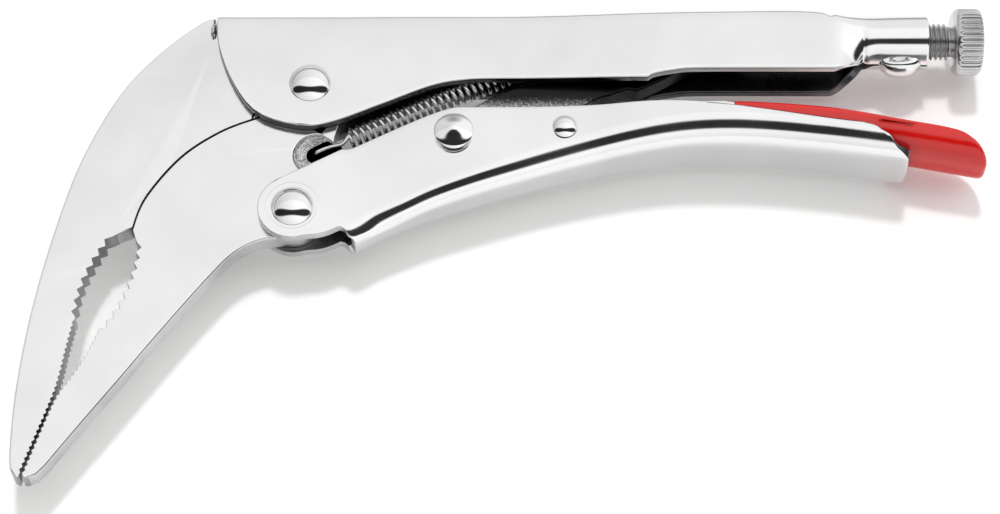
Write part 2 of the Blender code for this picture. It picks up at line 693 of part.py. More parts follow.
def build():
    clear_scene()
    make = Builder()
    polished = new_material("polished_nickel", STEEL, 0.12, 1.0)
    rivet_steel = new_material("rivet_steel", STEEL, 0.10, 1.0)
    spring_steel = new_material("spring_steel", DARK_STEEL, 0.35, 1.0)
    zinc_steel = new_material("screw_steel", ZINC, 0.30, 1.0)
    red_coat = new_material("red_plastic", RED, 0.35, 0.0)

    jaw_pivot = make.pivot("jaw_pivot", (0.0, 0.0))
    handle_pivot = make.pivot("handle_pivot", HANDLE_PIVOT)
    link_pivot = make.pivot("link_pivot", LINK_PIVOT)
    lever_pivot = make.pivot("lever_pivot", LEVER_PIVOT)
    make.screw_line = make.pivot("screw_line", (0.0, SCREW_AXIS_Y))

    upper_handle(make, polished)
    fixed_jaw(make, polished)
    weld_beads(make, polished)
    moving_jaw(make, polished, jaw_pivot)
    lower_handle(make, polished, handle_pivot)
    toggle_link(make, polished, link_pivot)
    release_lever(make, polished, lever_pivot)
    lever_grip(make, red_coat, lever_pivot)
    rivet(make, "jaw_rivet", JAW_RIVET, FRONT_WIDTH, rivet_steel, jaw_pivot)
    rivet(make, "handle_rivet", HANDLE_RIVET, FRONT_WIDTH, rivet_steel, handle_pivot)
    rivet(make, "link_rivet", LINK_RIVET, lower_width(LINK_PIVOT[0] + 4.5), rivet_steel, link_pivot)
    rivet(make, "lever_rivet", LEVER_RIVET, lower_width(LEVER_PIVOT[0] + 3.0), rivet_steel, lever_pivot)
    link_washers(make, rivet_steel, link_pivot)
    tension_spring(make, spring_steel)
    adjusting_screw(make, zinc_steel, make.screw_line)
    screw_knob(make, zinc_steel, make.screw_line)

    stand_on_origin(make)


build()
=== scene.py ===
"""Looks of the locking pliers: refined pieces, materials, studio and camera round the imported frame.

Outlines are in millimetres from the jaw pivot, with z = 0 in the middle plane, as in the CAD
source. Every piece is built in that frame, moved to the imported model's place and made to ride
on its body.
"""

import json
import math

import bmesh
import bpy
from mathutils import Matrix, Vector, noise
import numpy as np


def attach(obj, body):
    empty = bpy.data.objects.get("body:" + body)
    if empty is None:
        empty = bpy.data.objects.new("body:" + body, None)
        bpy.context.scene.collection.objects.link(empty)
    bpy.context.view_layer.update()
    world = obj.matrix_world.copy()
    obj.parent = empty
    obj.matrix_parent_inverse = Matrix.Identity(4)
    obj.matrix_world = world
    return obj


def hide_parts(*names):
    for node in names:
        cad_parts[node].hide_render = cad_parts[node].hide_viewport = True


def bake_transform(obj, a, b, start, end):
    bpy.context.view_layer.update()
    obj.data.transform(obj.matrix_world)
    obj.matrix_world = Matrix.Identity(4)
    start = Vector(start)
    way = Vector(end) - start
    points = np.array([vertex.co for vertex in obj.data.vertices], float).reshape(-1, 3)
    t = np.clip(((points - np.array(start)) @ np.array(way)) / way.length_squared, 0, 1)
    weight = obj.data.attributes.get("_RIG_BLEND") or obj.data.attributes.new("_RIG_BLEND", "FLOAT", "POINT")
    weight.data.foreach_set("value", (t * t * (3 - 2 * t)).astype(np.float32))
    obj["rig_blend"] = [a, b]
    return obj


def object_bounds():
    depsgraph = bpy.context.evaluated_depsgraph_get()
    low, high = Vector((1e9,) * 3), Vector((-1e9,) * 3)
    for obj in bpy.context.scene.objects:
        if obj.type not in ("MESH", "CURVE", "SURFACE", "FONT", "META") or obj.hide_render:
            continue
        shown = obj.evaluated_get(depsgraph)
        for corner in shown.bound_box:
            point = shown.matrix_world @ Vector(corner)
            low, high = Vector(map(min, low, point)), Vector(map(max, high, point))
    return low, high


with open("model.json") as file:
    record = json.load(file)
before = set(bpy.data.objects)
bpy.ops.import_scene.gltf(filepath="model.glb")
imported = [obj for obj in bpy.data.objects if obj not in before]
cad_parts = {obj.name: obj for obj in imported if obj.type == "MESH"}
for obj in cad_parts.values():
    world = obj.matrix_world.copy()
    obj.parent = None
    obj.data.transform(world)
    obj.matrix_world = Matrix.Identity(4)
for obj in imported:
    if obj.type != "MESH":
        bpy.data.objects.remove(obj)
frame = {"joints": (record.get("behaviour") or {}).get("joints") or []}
CAD_LOW, CAD_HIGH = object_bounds()

MM = 0.001
ORIGIN = Vector(next(j for j in frame["joints"] if j["name"] == "jaw_open")["pos_m"])

# Pivots and axes, from the jaw pivot
HANDLE_PIVOT = (-2.8, -29.2)
LINK_PIVOT = (30.2, -12.9)
LEVER_PIVOT = (53.2, -11.9)
LINK_END = (84.4, 12.6)
SCREW_AXIS_Y = 12.6
SPRING_HOLE = (1.5, -16.0)
SPRING_ANCHOR = (52.6, 8.4)

# Thickness stack
JAW_THICKNESS = 4.6
SHEET = 2.0
FRONT_WIDTH = 9.0
UPPER_REAR_WIDTH = 12.2
LOWER_MIDDLE_WIDTH = 12.6
LOWER_REAR_WIDTH = 18.0
HANDLE_FRONT_X = -20.2
UPPER_BEND = 2.8
HUB_RADIUS = 9.0
HANDLE_BOSS_RADIUS = 6.2
NOSE_RADIUS = 7.2
SPLIT_GAP = 0.3

COARSE_TOOTH = (2.35, 1.05)
FINE_TOOTH = (1.25, 0.45)

LEVER_SHEET = 1.5
LEVER_FRONT_WIDTH = 8.6
LEVER_REAR_WIDTH = 11.3
GRIP_WIDTH = 13.2
GRIP_START_X = 88.5
COAT = 0.65

SCREW_TIP_X = 90.2
COLLAR_END_X = 130.3
THREAD_RADIUS = 3.9
THREAD_ROOT = 3.15
THREAD_PITCH = 25.4 / 24
KNOB_START_X = 135.6
KNOB_END_X = 141.8
KNOB_RADIUS = 7.1
KNOB_FLUTES = 34

CURVE_STEPS = 8

# The camera leans this far from straight above; the key light and the dark band follow it
VIEW_TILT = math.radians(27.0)
CAMERA_DISTANCE = 0.597
VIEW_CENTRE = (39.74, -38.65, 0.0)


# ---------- curves


def smooth(points, steps=CURVE_STEPS):
    """A Catmull-Rom curve through the points."""
    ends = [points[0], *points, points[-1]]
    curve = []
    for i in range(len(points) - 1):
        p0, p1, p2, p3 = (Vector(p) for p in ends[i : i + 4])
        for k in range(steps):
            t = k / steps
            step = p1 + (p2 - p0) * (t / 2)
            step += (2 * p0 - 5 * p1 + 4 * p2 - p3) * (t * t / 2)
            step += (3 * p1 - p0 - 3 * p2 + p3) * (t * t * t / 2)
            curve.append(tuple(step))
    curve.append(tuple(points[-1]))
    return curve


def arc(centre, radius, start_deg, end_deg, steps=24):
    angles = [math.radians(start_deg + (end_deg - start_deg) * k / steps) for k in range(steps + 1)]
    return [(centre[0] + radius * math.cos(a), centre[1] + radius * math.sin(a)) for a in angles]


def path_length(path):
    return sum((Vector(b) - Vector(a)).length for a, b in zip(path, path[1:]))


def along(path, distance):
    """The point this far along the path, and the path's direction there."""
    for a, b in zip(path, path[1:]):
        run = Vector(b) - Vector(a)
        if distance <= run.length:
            return Vector(a) + run.normalized() * distance, run.normalized()
        distance -= run.length
    return Vector(path[-1]), (Vector(path[-1]) - Vector(path[-2])).normalized()


def toothed(path, tooth):
    """The path with a notch cut to its right between each pair of tooth tips."""
    pitch, depth = tooth
    length = path_length(path)
    count = round(length / pitch)
    teeth = []
    for k in range(count):
        tip, _ = along(path, length * k / count)
        middle, direction = along(path, length * (k + 0.5) / count)
        teeth.append(tuple(tip))
        teeth.append((middle.x + depth * direction.y, middle.y - depth * direction.x))
    teeth.append(tuple(path[-1]))
    return teeth


def ramp(x, x0, x1):
    """Rises smoothly from 0 at x0 to 1 at x1."""
    t = min(1.0, max(0.0, (x - x0) / (x1 - x0)))
    return t * t * (3 - 2 * t)


def read_curve(curve, x):
    """The height of a curve that runs from left to right, level beyond its ends."""
    if x <= curve[0][0]:
        return curve[0][1]
    for (x0, y0), (x1, y1) in zip(curve, curve[1:]):
        if x <= x1 and x1 > x0:
            return y0 + (y1 - y0) * (x - x0) / (x1 - x0)
    return curve[-1][1]


SPLIT_LINE = smooth([(-11.0, -7.2), (-18.6, -10.6), (-26.6, -16.8), (-33.3, -26.2), (-35.6, -33.5)])
FIXED_OUTER = smooth([
    (-20.7, 17.3), (-24.0, 15.9), (-32.1, 8.7), (-40.0, -1.5), (-47.3, -17.8),
    (-52.2, -36.7), (-55.3, -54.0), (-56.9, -70.0), (-57.1, -82.0), (-56.7, -86.5),
])
MOVING_OUTER = smooth([
    (-49.9, -86.1), (-43.4, -77.0), (-36.1, -67.0), (-28.6, -56.6), (-19.2, -44.1),
    (-14.3, -38.7), (-9.3, -36.0), (-4.2, -35.3),
])
FIXED_COARSE = smooth([(-39.6, -35.2), (-42.9, -41.3), (-45.0, -47.2), (-45.9, -53.4)])
FIXED_FINE = smooth([(-46.0, -54.0), (-47.1, -60.0), (-48.2, -66.9), (-49.6, -72.3), (-54.5, -87.3)])
MOVING_COARSE = smooth([(-34.5, -36.4), (-34.9, -41.0), (-36.3, -46.5), (-38.4, -51.8), (-41.0, -56.0)])
MOVING_FINE = smooth([(-41.3, -56.4), (-43.8, -62.4), (-46.6, -67.4), (-49.3, -72.3), (-54.2, -87.3)])

UPPER_EDGE = smooth([
    (HANDLE_FRONT_X, 17.6), (-19.7, 9.6), (-16.1, -0.1), (-10.8, -7.2), (-1.8, -10.2),
    (5.0, -9.3), (15.3, -5.0), (25.7, -0.6), (33.0, 0.8), (40.0, 1.0),
]) + smooth([(70.8, 0.6), (72.0, 1.4), (76.0, 2.2), (82.0, 2.7), (108.0, 2.7)], 4)
UPPER_CROWN = smooth([
    (-24.0, 17.3), (20.0, 17.7), (60.0, 17.7), (95.0, 18.2), (105.0, 18.1), (109.5, 17.5), (113.0, 17.1),
])
LOWER_WEB = smooth([
    (8.0, -37.6), (20.0, -31.4), (29.0, -27.4), (50.0, -20.6), (71.0, -15.6),
    (87.0, -14.4), (105.0, -15.7), (126.0, -18.7),
])
LOWER_TOP = smooth([
    (8.7, -15.9), (20.5, -10.2), (29.3, -6.9), (36.0, -6.8), (58.0, -6.9),
    (70.8, -6.3), (81.0, -6.8), (94.1, -8.6), (108.6, -11.0), (114.6, -11.8),
])
LOWER_END = smooth([
    (114.6, -11.8), (117.4, -12.8), (119.3, -14.8), (121.2, -16.5), (124.2, -18.2), (125.6, -22.0),
])
LEVER_WEB = smooth([
    (44.0, -18.2), (55.0, -16.4), (71.0, -12.9), (88.0, -11.1), (104.0, -12.2),
    (123.0, -14.8), (132.0, -16.4), (144.0, -18.7),
])
LEVER_TOP = smooth([
    (47.5, -14.0), (53.0, -8.2), (60.0, -7.4), (66.0, -5.6), (76.0, -5.0), (92.0, -5.1),
    (109.0, -6.5), (124.0, -9.4), (133.0, -11.4), (137.8, -14.3), (140.4, -18.4), (141.2, -22.0),
])


def upper_width(x):
    return FRONT_WIDTH + (UPPER_REAR_WIDTH - FRONT_WIDTH) * ramp(x, 36.0, 78.0)


def lower_width(x):
    width = FRONT_WIDTH + (LOWER_MIDDLE_WIDTH - FRONT_WIDTH) * ramp(x, 8.0, 40.0)
    return width + (LOWER_REAR_WIDTH - LOWER_MIDDLE_WIDTH) * ramp(x, 38.0, 90.0)


def lower_bend(x):
    return 2.6 + 1.2 * ramp(x, 8.6, 14.0) + 1.0 * ramp(x, 14.0, 80.0)


def lever_width(x):
    return LEVER_FRONT_WIDTH + (LEVER_REAR_WIDTH - LEVER_FRONT_WIDTH) * ramp(x, 54.0, 82.0)


# ---------- materials


class Graph:
    """Adds shader nodes to a tree; inputs given as numbers are set, and as sockets are linked."""

    def __init__(self, tree):
        self.tree = tree
        tree.nodes.clear()

    def node(self, kind, inputs=None, **settings):
        made = self.tree.nodes.new(kind)
        for key, value in settings.items():
            setattr(made, key, value)
        for key, value in (inputs or {}).items():
            if isinstance(value, bpy.types.NodeSocket):
                self.tree.links.new(value, made.inputs[key])
            else:
                made.inputs[key].default_value = value
        return made

    def math(self, operation, a, b=0.0, clamp=False):
        return self.node("ShaderNodeMath", {0: a, 1: b}, operation=operation, use_clamp=clamp).outputs[0]

    def noise(self, vector, scale, detail=3.0, roughness=0.5):
        inputs = {"Vector": vector, "Scale": scale, "Detail": detail, "Roughness": roughness}
        return self.node("ShaderNodeTexNoise", inputs).outputs["Fac"]

    def remap(self, value, low, high, to_low, to_high, smooth_step=False):
        made = self.node("ShaderNodeMapRange", {
            "Value": value, "From Min": low, "From Max": high, "To Min": to_low, "To Max": to_high,
        }, interpolation_type="SMOOTHSTEP" if smooth_step else "LINEAR")
        return made.outputs["Result"]

    def mix(self, factor, a, b):
        """Mixes two colours; 0, 6, 7 and 2 are the Mix node's colour sockets."""
        return self.node("ShaderNodeMix", {0: factor, 6: a, 7: b}, data_type="RGBA").outputs[2]

    def bump(self, height, distance, normal=None):
        inputs = {"Height": height, "Distance": distance, "Strength": 1.0}
        if normal is not None:
            inputs["Normal"] = normal
        return self.node("ShaderNodeBump", inputs).outputs["Normal"]


def new_material(name):
    material = bpy.data.materials.new(name)
    material.use_nodes = True
    return material, Graph(material.node_tree)


def surface(graph, **inputs):
    """Ends the graph in a Principled shader; an underscore in an input's name stands for a space."""
    shader = graph.node("ShaderNodeBsdfPrincipled", {k.replace("_", " "): v for k, v in inputs.items()})
    graph.node("ShaderNodeOutputMaterial", {"Surface": shader.outputs[0]})


def grey(value, blue=0.0):
    return (value, value, value + blue, 1.0)


def plated(name, bright, dark, rough, rough_spread, wave, grain, scratch=0.0, lines=(1.0, 1.0, 1.0),
           painted_light_and_shade=None, coin=None, painted_shade=None):
    """Plated or bare metal: clouded tone, uneven polish, a wavy surface, fine grain and scratches.

    wave, grain and scratch are bump heights in metres, and lines stretches the scratches.
    The near-side tone, (from x, to x, tone), is a near side whose tone changes along the tool, painted light
    where it turns lighter and painted shade where it turns darker; coin is (centre, radius) of a shallow
    ring pressed round a rivet, and the shaded edge, (clean y, dark y, tone), is painted shade that darkens
    in grains towards one edge."""
    material, graph = new_material(name)
    place = graph.node("ShaderNodeTexCoord").outputs["Object"]
    cloud = graph.noise(place, 70.0, 4.0)
    fine = graph.noise(place, 2600.0, 2.0)
    stretched = graph.node("ShaderNodeMapping", {
        "Vector": place, "Scale": tuple(900.0 * k for k in lines), "Rotation": (0.0, 0.0, 0.5),
    }).outputs[0]
    streak = graph.noise(stretched, 1.0, 3.0, 0.6)
    edge = graph.node("ShaderNodeNewGeometry").outputs["Pointiness"]
    worn = graph.remap(edge, 0.53, 0.60, 0.0, 1.0, True)
    tone = graph.mix(graph.remap(cloud, 0.35, 0.65, 0.0, 1.0), grey(dark, 0.006), grey(bright, 0.006))
    tone = graph.mix(graph.math("MULTIPLY", worn, 0.35), tone, grey(min(1.0, bright * 1.12)))
    split = graph.node("ShaderNodeSeparateXYZ", {0: place})
    # Paints the near side a tone that changes along the tool: painted light where it turns lighter, painted
    # shade where it turns darker
    if painted_light_and_shade:
        start, end = (ORIGIN.x + x * MM for x in painted_light_and_shade[:2])
        share = graph.remap(split.outputs[0], start, end, 0.0, 1.0, True)
        near = graph.math("GREATER_THAN", split.outputs[2], ORIGIN.z)
        tone = graph.mix(graph.math("MULTIPLY", share, near), tone, grey(painted_light_and_shade[2]))
    # Painted shade: the tone darkens in grains towards one edge
    if painted_shade:
        specks = graph.math("SUBTRACT", graph.noise(place, 3400.0, 2.0, 0.7), 0.5)
        specks = graph.math("MULTIPLY", specks, 0.006)
        height = graph.math("ADD", split.outputs[1], specks)
        start, end = (ORIGIN.y + y * MM for y in painted_shade[:2])
        tone = graph.mix(graph.remap(height, start, end, 0.0, 1.0, True), tone, grey(painted_shade[2]))
    polish = graph.remap(cloud, 0.3, 0.7, rough - rough_spread, rough + rough_spread)
    polish = graph.math("ADD", polish, graph.math("MULTIPLY", streak, rough_spread * 0.8))
    polish = graph.math("ADD", polish, graph.math("MULTIPLY", worn, 0.05), clamp=True)
    normal = graph.bump(graph.noise(place, 55.0, 1.0), wave)
    normal = graph.bump(fine, grain, normal)
    if scratch:
        normal = graph.bump(streak, scratch, normal)
    if coin:
        distance = flat_distance(graph, place, coin[0])
        offset = graph.math("SUBTRACT", distance, coin[1] * MM)
        ring = graph.remap(graph.math("ABSOLUTE", offset), 0.0, 0.00035, 1.0, 0.0, True)
        normal = graph.bump(ring, 0.00002, normal)
    surface(graph, Base_Color=tone, Metallic=1.0, Roughness=polish, Normal=normal)
    return material


def flat_distance(graph, place, centre):
    """The distance from an axis along Z through a point given from the jaw pivot."""
    shift = ORIGIN + Vector((*centre, 0.0)) * MM
    kind = "ShaderNodeVectorMath"
    shifted = graph.node(kind, {0: place, 1: tuple(shift)}, operation="SUBTRACT").outputs[0]
    level = graph.node(kind, {0: shifted, 1: (1.0, 1.0, 0.0)}, operation="MULTIPLY").outputs[0]
    return graph.node(kind, {0: level}, operation="LENGTH").outputs["Value"]


def milled(name):
    """The rough ring round the spring's hole: cutter marks in circles."""
    material, graph = new_material(name)
    place = graph.node("ShaderNodeTexCoord").outputs["Object"]
    length = flat_distance(graph, place, SPRING_HOLE)
    wobble = graph.math("MULTIPLY", graph.noise(place, 500.0, 3.0, 0.6), 14.0)
    rings = graph.math("SINE", graph.math("ADD", graph.math("MULTIPLY", length, 13000.0), wobble))
    pits = graph.noise(place, 1700.0, 3.0, 0.6)
    shade = graph.math("ADD", graph.math("MULTIPLY", rings, 0.07), pits)
    tone = graph.mix(graph.remap(shade, 0.34, 0.60, 0.0, 1.0), grey(0.26), grey(0.78))
    normal = graph.bump(rings, 0.00004)
    normal = graph.bump(pits, 0.00010, normal)
    rough = graph.remap(pits, 0.3, 0.7, 0.22, 0.45)
    surface(graph, Base_Color=tone, Metallic=1.0, Roughness=rough, Normal=normal)
    return material


def dipped_plastic(name):
    """Red dipped coating: glossy, faintly mottled, with a slow orange-peel waviness."""
    material, graph = new_material(name)
    place = graph.node("ShaderNodeTexCoord").outputs["Object"]
    cloud = graph.noise(place, 60.0, 3.0)
    peel = graph.noise(place, 420.0, 2.0)
    fine = graph.noise(place, 3000.0, 2.0)
    share = graph.remap(cloud, 0.3, 0.7, 0.0, 1.0)
    tone = graph.mix(share, (0.60, 0.003, 0.001, 1.0), (0.68, 0.005, 0.002, 1.0))
    rough = graph.remap(graph.math("ADD", cloud, graph.math("MULTIPLY", fine, 0.3)), 0.4, 0.9, 0.17, 0.26)
    normal = graph.bump(peel, 0.00005)
    normal = graph.bump(fine, 0.000004, normal)
    surface(graph, Base_Color=tone, Roughness=rough, Normal=normal, IOR=1.62)
    return material


# Directions of the fine scratches: along the edge of a sheet, round a wire and round the screw
EDGE_LINES = (0.15, 0.15, 3.0)
WIRE_LINES = (0.2, 0.2, 3.0)
TURNED_LINES = (0.3, 3.0, 3.0)
EDGE_FINISH = (0.08, 0.00008, 0.000006, 0.000020, EDGE_LINES)

NICKEL = plated("nickel_plate", 0.86, 0.82, 0.10, 0.035, 0.00006, 0.0000012)
JAW_NICKEL = plated("jaw_plate", 0.84, 0.78, 0.13, 0.04, 0.00010, 0.0000016)
# The insides of the channels and the anchor tab are dark: painted shade
INSIDE = plated("inside_shade", 0.30, 0.18, 0.30, 0.08, 0.00010, 0.000006)
CUT_EDGE = plated("cut_edge", 0.66, 0.48, 0.24, *EDGE_FINISH)
# Rims of the upper handle: dark as painted shade, turning light on the near side from x 60 to 74, where the
# painted shade ends
UPPER_RIM = plated("upper_rim", 0.20, 0.10, 0.26, *EDGE_FINISH, painted_light_and_shade=(60.0, 74.0, 0.72))
# Rims of the lower handle: on the near side from x 114 to 118 they turn almost black, painted shade at the
# rear end
LOWER_RIM = plated("lower_rim", 0.66, 0.48, 0.24, *EDGE_FINISH, painted_light_and_shade=(114.0, 118.0, 0.03))
# Darker walls in and near the teeth and on the moving jaw's side: painted shade
TOOTH_SHADE = plated("tooth_shade", 0.40, 0.26, 0.28, 0.08, 0.00008, 0.000006, 0.000012, EDGE_LINES)
# The link's upper part is painted dark: painted shade where the upper handle's flange hangs over it
LINK_PLATE = plated("link_plate", 0.84, 0.76, 0.22, 0.05, 0.00006, 0.000010, painted_shade=(-7.4, -2.4, 0.02))
LOWER_NICKEL = plated(
    "lower_plate", 0.86, 0.82, 0.10, 0.035, 0.00006, 0.0000012, coin=(HANDLE_PIVOT, 5.35),
)
RIVET = plated("rivet_polish", 0.88, 0.84, 0.06, 0.02, 0.00002, 0.0000008)
SPRING_WIRE = plated("spring_wire", 0.78, 0.52, 0.14, 0.04, 0.00002, 0.000003, 0.000006, WIRE_LINES)
ZINC = plated("screw_zinc", 0.66, 0.46, 0.17, 0.05, 0.00003, 0.000003, 0.000006, TURNED_LINES)
THREAD_METAL = plated("thread_zinc", 0.42, 0.26, 0.20, 0.06, 0.00003, 0.000004, 0.000006, TURNED_LINES)
MILLED = milled("milled_ring")
RED = dipped_plastic("red_coat")


# ---------- mesh building


def linked(name, data):
    obj = bpy.data.objects.new(name, data)
    bpy.context.scene.collection.objects.link(obj)
    return obj


def finished(name, mesh, node, body):
    """Links the mesh as a piece that rides on a body and stands for a CAD node, where it has one."""
    obj = linked(name, mesh)
    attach(obj, body)
    if node:
        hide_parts(node)
    return obj


def to_mesh(name, bm, materials):
    """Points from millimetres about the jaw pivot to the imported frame."""
    bmesh.ops.scale(bm, vec=(MM, MM, MM), verts=bm.verts)
    bmesh.ops.translate(bm, vec=ORIGIN, verts=bm.verts)
    mesh = bpy.data.meshes.new(name)
    bm.to_mesh(mesh)
    bm.free()
    for material in materials:
        mesh.materials.append(material)
    mesh.shade_smooth()
    return mesh


def bridge(bm, rings):
    """Faces between each closed ring of points and the next."""
    count = len(rings[0])
    for low, high in zip(rings, rings[1:]):
        for k in range(count):
            bm.faces.new((low[k], low[(k + 1) % count], high[(k + 1) % count], high[k]))


def tube(name, bm, rings, materials):
    """A closed body through the rings, with its first and last ring filled."""
    bridge(bm, rings)
    bm.faces.new(rings[0][::-1])
    bm.faces.new(rings[-1])
    bmesh.ops.recalc_face_normals(bm, faces=bm.faces)
    return to_mesh(name, bm, materials)


def round_edges(obj, width, segments=3, angle=40.0, weighted=False):
    """Rounds the sharp edges, then lets the larger faces set the shading."""
    bevel = obj.modifiers.new("edges", "BEVEL")
    bevel.width = width * MM
    bevel.segments = segments
    bevel.use_clamp_overlap = False
    bevel.loop_slide = False
    if weighted:
        bevel.limit_method = "WEIGHT"
    else:
        bevel.limit_method = "ANGLE"
        bevel.angle_limit = math.radians(angle)
    shading = obj.modifiers.new("shading", "WEIGHTED_NORMAL")
    shading.weight = 50
    shading.keep_sharp = True


def sheet_mesh(name, columns, materials, flip=False):
    """A surface through columns of equally many points; None leaves a point out."""
    bm = bmesh.new()
    rows = [[bm.verts.new(p) if p is not None else None for p in column] for column in columns]
    for low, high in zip(rows, rows[1:]):
        for k in range(len(low) - 1):
            corners = [low[k], high[k], high[k + 1], low[k + 1]]
            if None not in corners:
                bm.faces.new(corners[::-1] if flip else corners)
    return to_mesh(name, bm, materials)


def thicken(obj, thickness):
    """Grows a surface inwards; its inside takes the second material and its rim the third."""
    solid = obj.modifiers.new("thickness", "SOLIDIFY")
    solid.thickness = thickness * MM
    solid.offset = -1.0
    solid.use_quality_normals = True
    solid.material_offset = 1
    solid.material_offset_rim = 2


WALL_STEPS = 14
BEND_STEPS = 16
WEB_STEPS = 4
SECTION = WALL_STEPS + BEND_STEPS + 1 + WEB_STEPS


def bend_shape(easing, start_deg, end_deg):
    """A quarter turn as (down, inward) steps of a unit drop, with a larger radius between two slopes."""
    down = inward = 0.0
    steps = [(0.0, 0.0)]
    fine = 12
    for k in range(BEND_STEPS * fine):
        slope = 90.0 * (k + 0.5) / (BEND_STEPS * fine)
        eased = ramp(slope, start_deg - 5, start_deg + 5) * (1 - ramp(slope, end_deg - 5, end_deg + 5))
        radius = 1.0 + easing * eased
        down += radius * math.cos(math.radians(slope))
        inward += radius * math.sin(math.radians(slope))
        if k % fine == fine - 1:
            steps.append((down, inward))
    return [(d / down, i / down) for d, i in steps]


ROUND_BEND = bend_shape(0.0, 20.0, 40.0)
EASED_BEND = bend_shape(1.5, 19.0, 37.0)


def half_section(web_y, rim_y, half, bend, shape=ROUND_BEND):
    """One wall of a U section from its rim up to the middle of the web, as (y, z)."""
    away = 1.0 if rim_y > web_y else -1.0
    depth = abs(rim_y - web_y)
    bend = min(bend, 0.88 * depth)
    points = [(rim_y - away * (depth - bend) * k / WALL_STEPS, half) for k in range(WALL_STEPS)]
    points += [(web_y + away * bend * (1 - down), half - bend * inward) for down, inward in shape]
    inner = points[-1][1]
    for k in range(1, WEB_STEPS + 1):
        points.append((web_y, inner * (1 - k / WEB_STEPS)))
    return points


def by_height(path):
    """The same path as (y, x), lowest point first, so that x can be read at a height."""
    return sorted((y, x) for x, y in path)


def whole(half_points):
    """Near wall, web and far wall of a section given as (x, y, z) from the rim to the middle."""
    far = [None if p is None else (p[0], p[1], -p[2]) for p in reversed(half_points[:-1])]
    return half_points + far


def mirrored(x, half_points):
    """A whole upright section at x, from (y, z) points."""
    return whole([(x, y, z) for y, z in half_points])


def stations(*ranges):
    """Sorted x values from (start, end, step) ranges."""
    values = set()
    for start, end, step in ranges:
        count = max(1, round((end - start) / step))
        values |= {round(start + (end - start) * k / count, 4) for k in range(count + 1)}
    return sorted(values)


def outline_mesh(name, outline, thickness, materials):
    """A flat plate with this outline, its two faces filled as one polygon each."""
    bm = bmesh.new()
    low = [bm.verts.new((x, y, -thickness / 2)) for x, y in outline]
    high = [bm.verts.new((x, y, thickness / 2)) for x, y in outline]
    count = len(outline)
    for k in range(count):
        bm.faces.new((low[k], low[(k + 1) % count], high[(k + 1) % count], high[k]))
    bm.faces.new(high)
    bm.faces.new(low[::-1])
    bmesh.ops.recalc_face_normals(bm, faces=bm.faces)
    return to_mesh(name, bm, materials)


def drill(mesh, holes):
    """Cuts (x, y, radius, z low, z high) cylinders from a mesh; the cut faces take material 1."""
    body = linked("drilled", mesh)
    tools = []
    for x, y, radius, low, high in holes:
        bm = bmesh.new()
        bmesh.ops.create_cone(
            bm, cap_ends=True, segments=64, radius1=radius, radius2=radius, depth=high - low,
        )
        bmesh.ops.translate(bm, vec=(x, y, (low + high) / 2), verts=bm.verts)
        tool = linked("drill", to_mesh("drill", bm, [mesh.materials[1]]))
        tools.append(tool)
        cut = body.modifiers.new("cut", "BOOLEAN")
        cut.operation = "DIFFERENCE"
        cut.solver = "EXACT"
        cut.material_mode = "TRANSFER"
        cut.object = tool
    graph = bpy.context.evaluated_depsgraph_get()
    result = bpy.data.meshes.new_from_object(body.evaluated_get(graph))
    for obj in [body, *tools]:
        bpy.data.objects.remove(obj, do_unlink=True)
    result.shade_smooth()
    return result


def weigh_rims(mesh, crisp=None):
    """Marks the edges between a flat face and a wall for rounding, less where crisp(place) says so."""
    crisp_weight = 0.24
    bm = bmesh.new()
    bm.from_mesh(mesh)
    layers = bm.edges.layers.float
    layer = layers.get("bevel_weight_edge") or layers.new("bevel_weight_edge")
    for edge in bm.edges:
        if len(edge.link_faces) != 2:
            continue
        flat = any(abs(face.normal.z) > 0.99 for face in edge.link_faces)
        sharp = edge.calc_face_angle(0.0) > math.radians(50.0)
        middle = (edge.verts[0].co + edge.verts[1].co) / 2
        weight = crisp_weight if crisp and crisp(middle) else 1.0
        edge[layer] = weight if flat and sharp else 0.0
        if sharp and not flat:
            edge.smooth = False
    bm.to_mesh(mesh)
    bm.free()


def lathe_mesh(name, profile, centre, materials, steps=64, axis="Z", shape=None):
    """A profile of (radius, height) turned about an axis, and closed at both ends.

    shape(angle, height, radius) may give each point another radius."""
    bm = bmesh.new()
    rings = []
    for radius, height in profile:
        ring = []
        for k in range(steps):
            angle = 2 * math.pi * k / steps
            r = shape(angle, height, radius) if shape else radius
            point = (r * math.cos(angle), r * math.sin(angle), height)
            if axis == "X":
                point = (height, r * math.cos(angle), r * math.sin(angle))
            ring.append(bm.verts.new(Vector(point) + Vector(centre)))
        rings.append(ring)
    return tube(name, bm, rings, materials)


def wire_mesh(name, path, radius, materials):
    """A round wire along a path, with closed ends."""
    sides = 10
    bm = bmesh.new()
    points = [Vector(p) for p in path]
    tangent = (points[1] - points[0]).normalized()
    side = tangent.orthogonal().normalized()
    rings = []
    angles = [2 * math.pi * k / sides for k in range(sides)]
    for k, point in enumerate(points):
        ahead = points[min(k + 1, len(points) - 1)]
        behind = points[max(k - 1, 0)]
        turned = (ahead - behind).normalized()
        side = (tangent.rotation_difference(turned) @ side).normalized()
        side = (side - turned * side.dot(turned)).normalized()
        tangent = turned
        up = tangent.cross(side)
        spokes = [side * math.cos(a) + up * math.sin(a) for a in angles]
        rings.append([bm.verts.new(point + radius * spoke) for spoke in spokes])
    return tube(name, bm, rings, materials)


# ---------- pieces


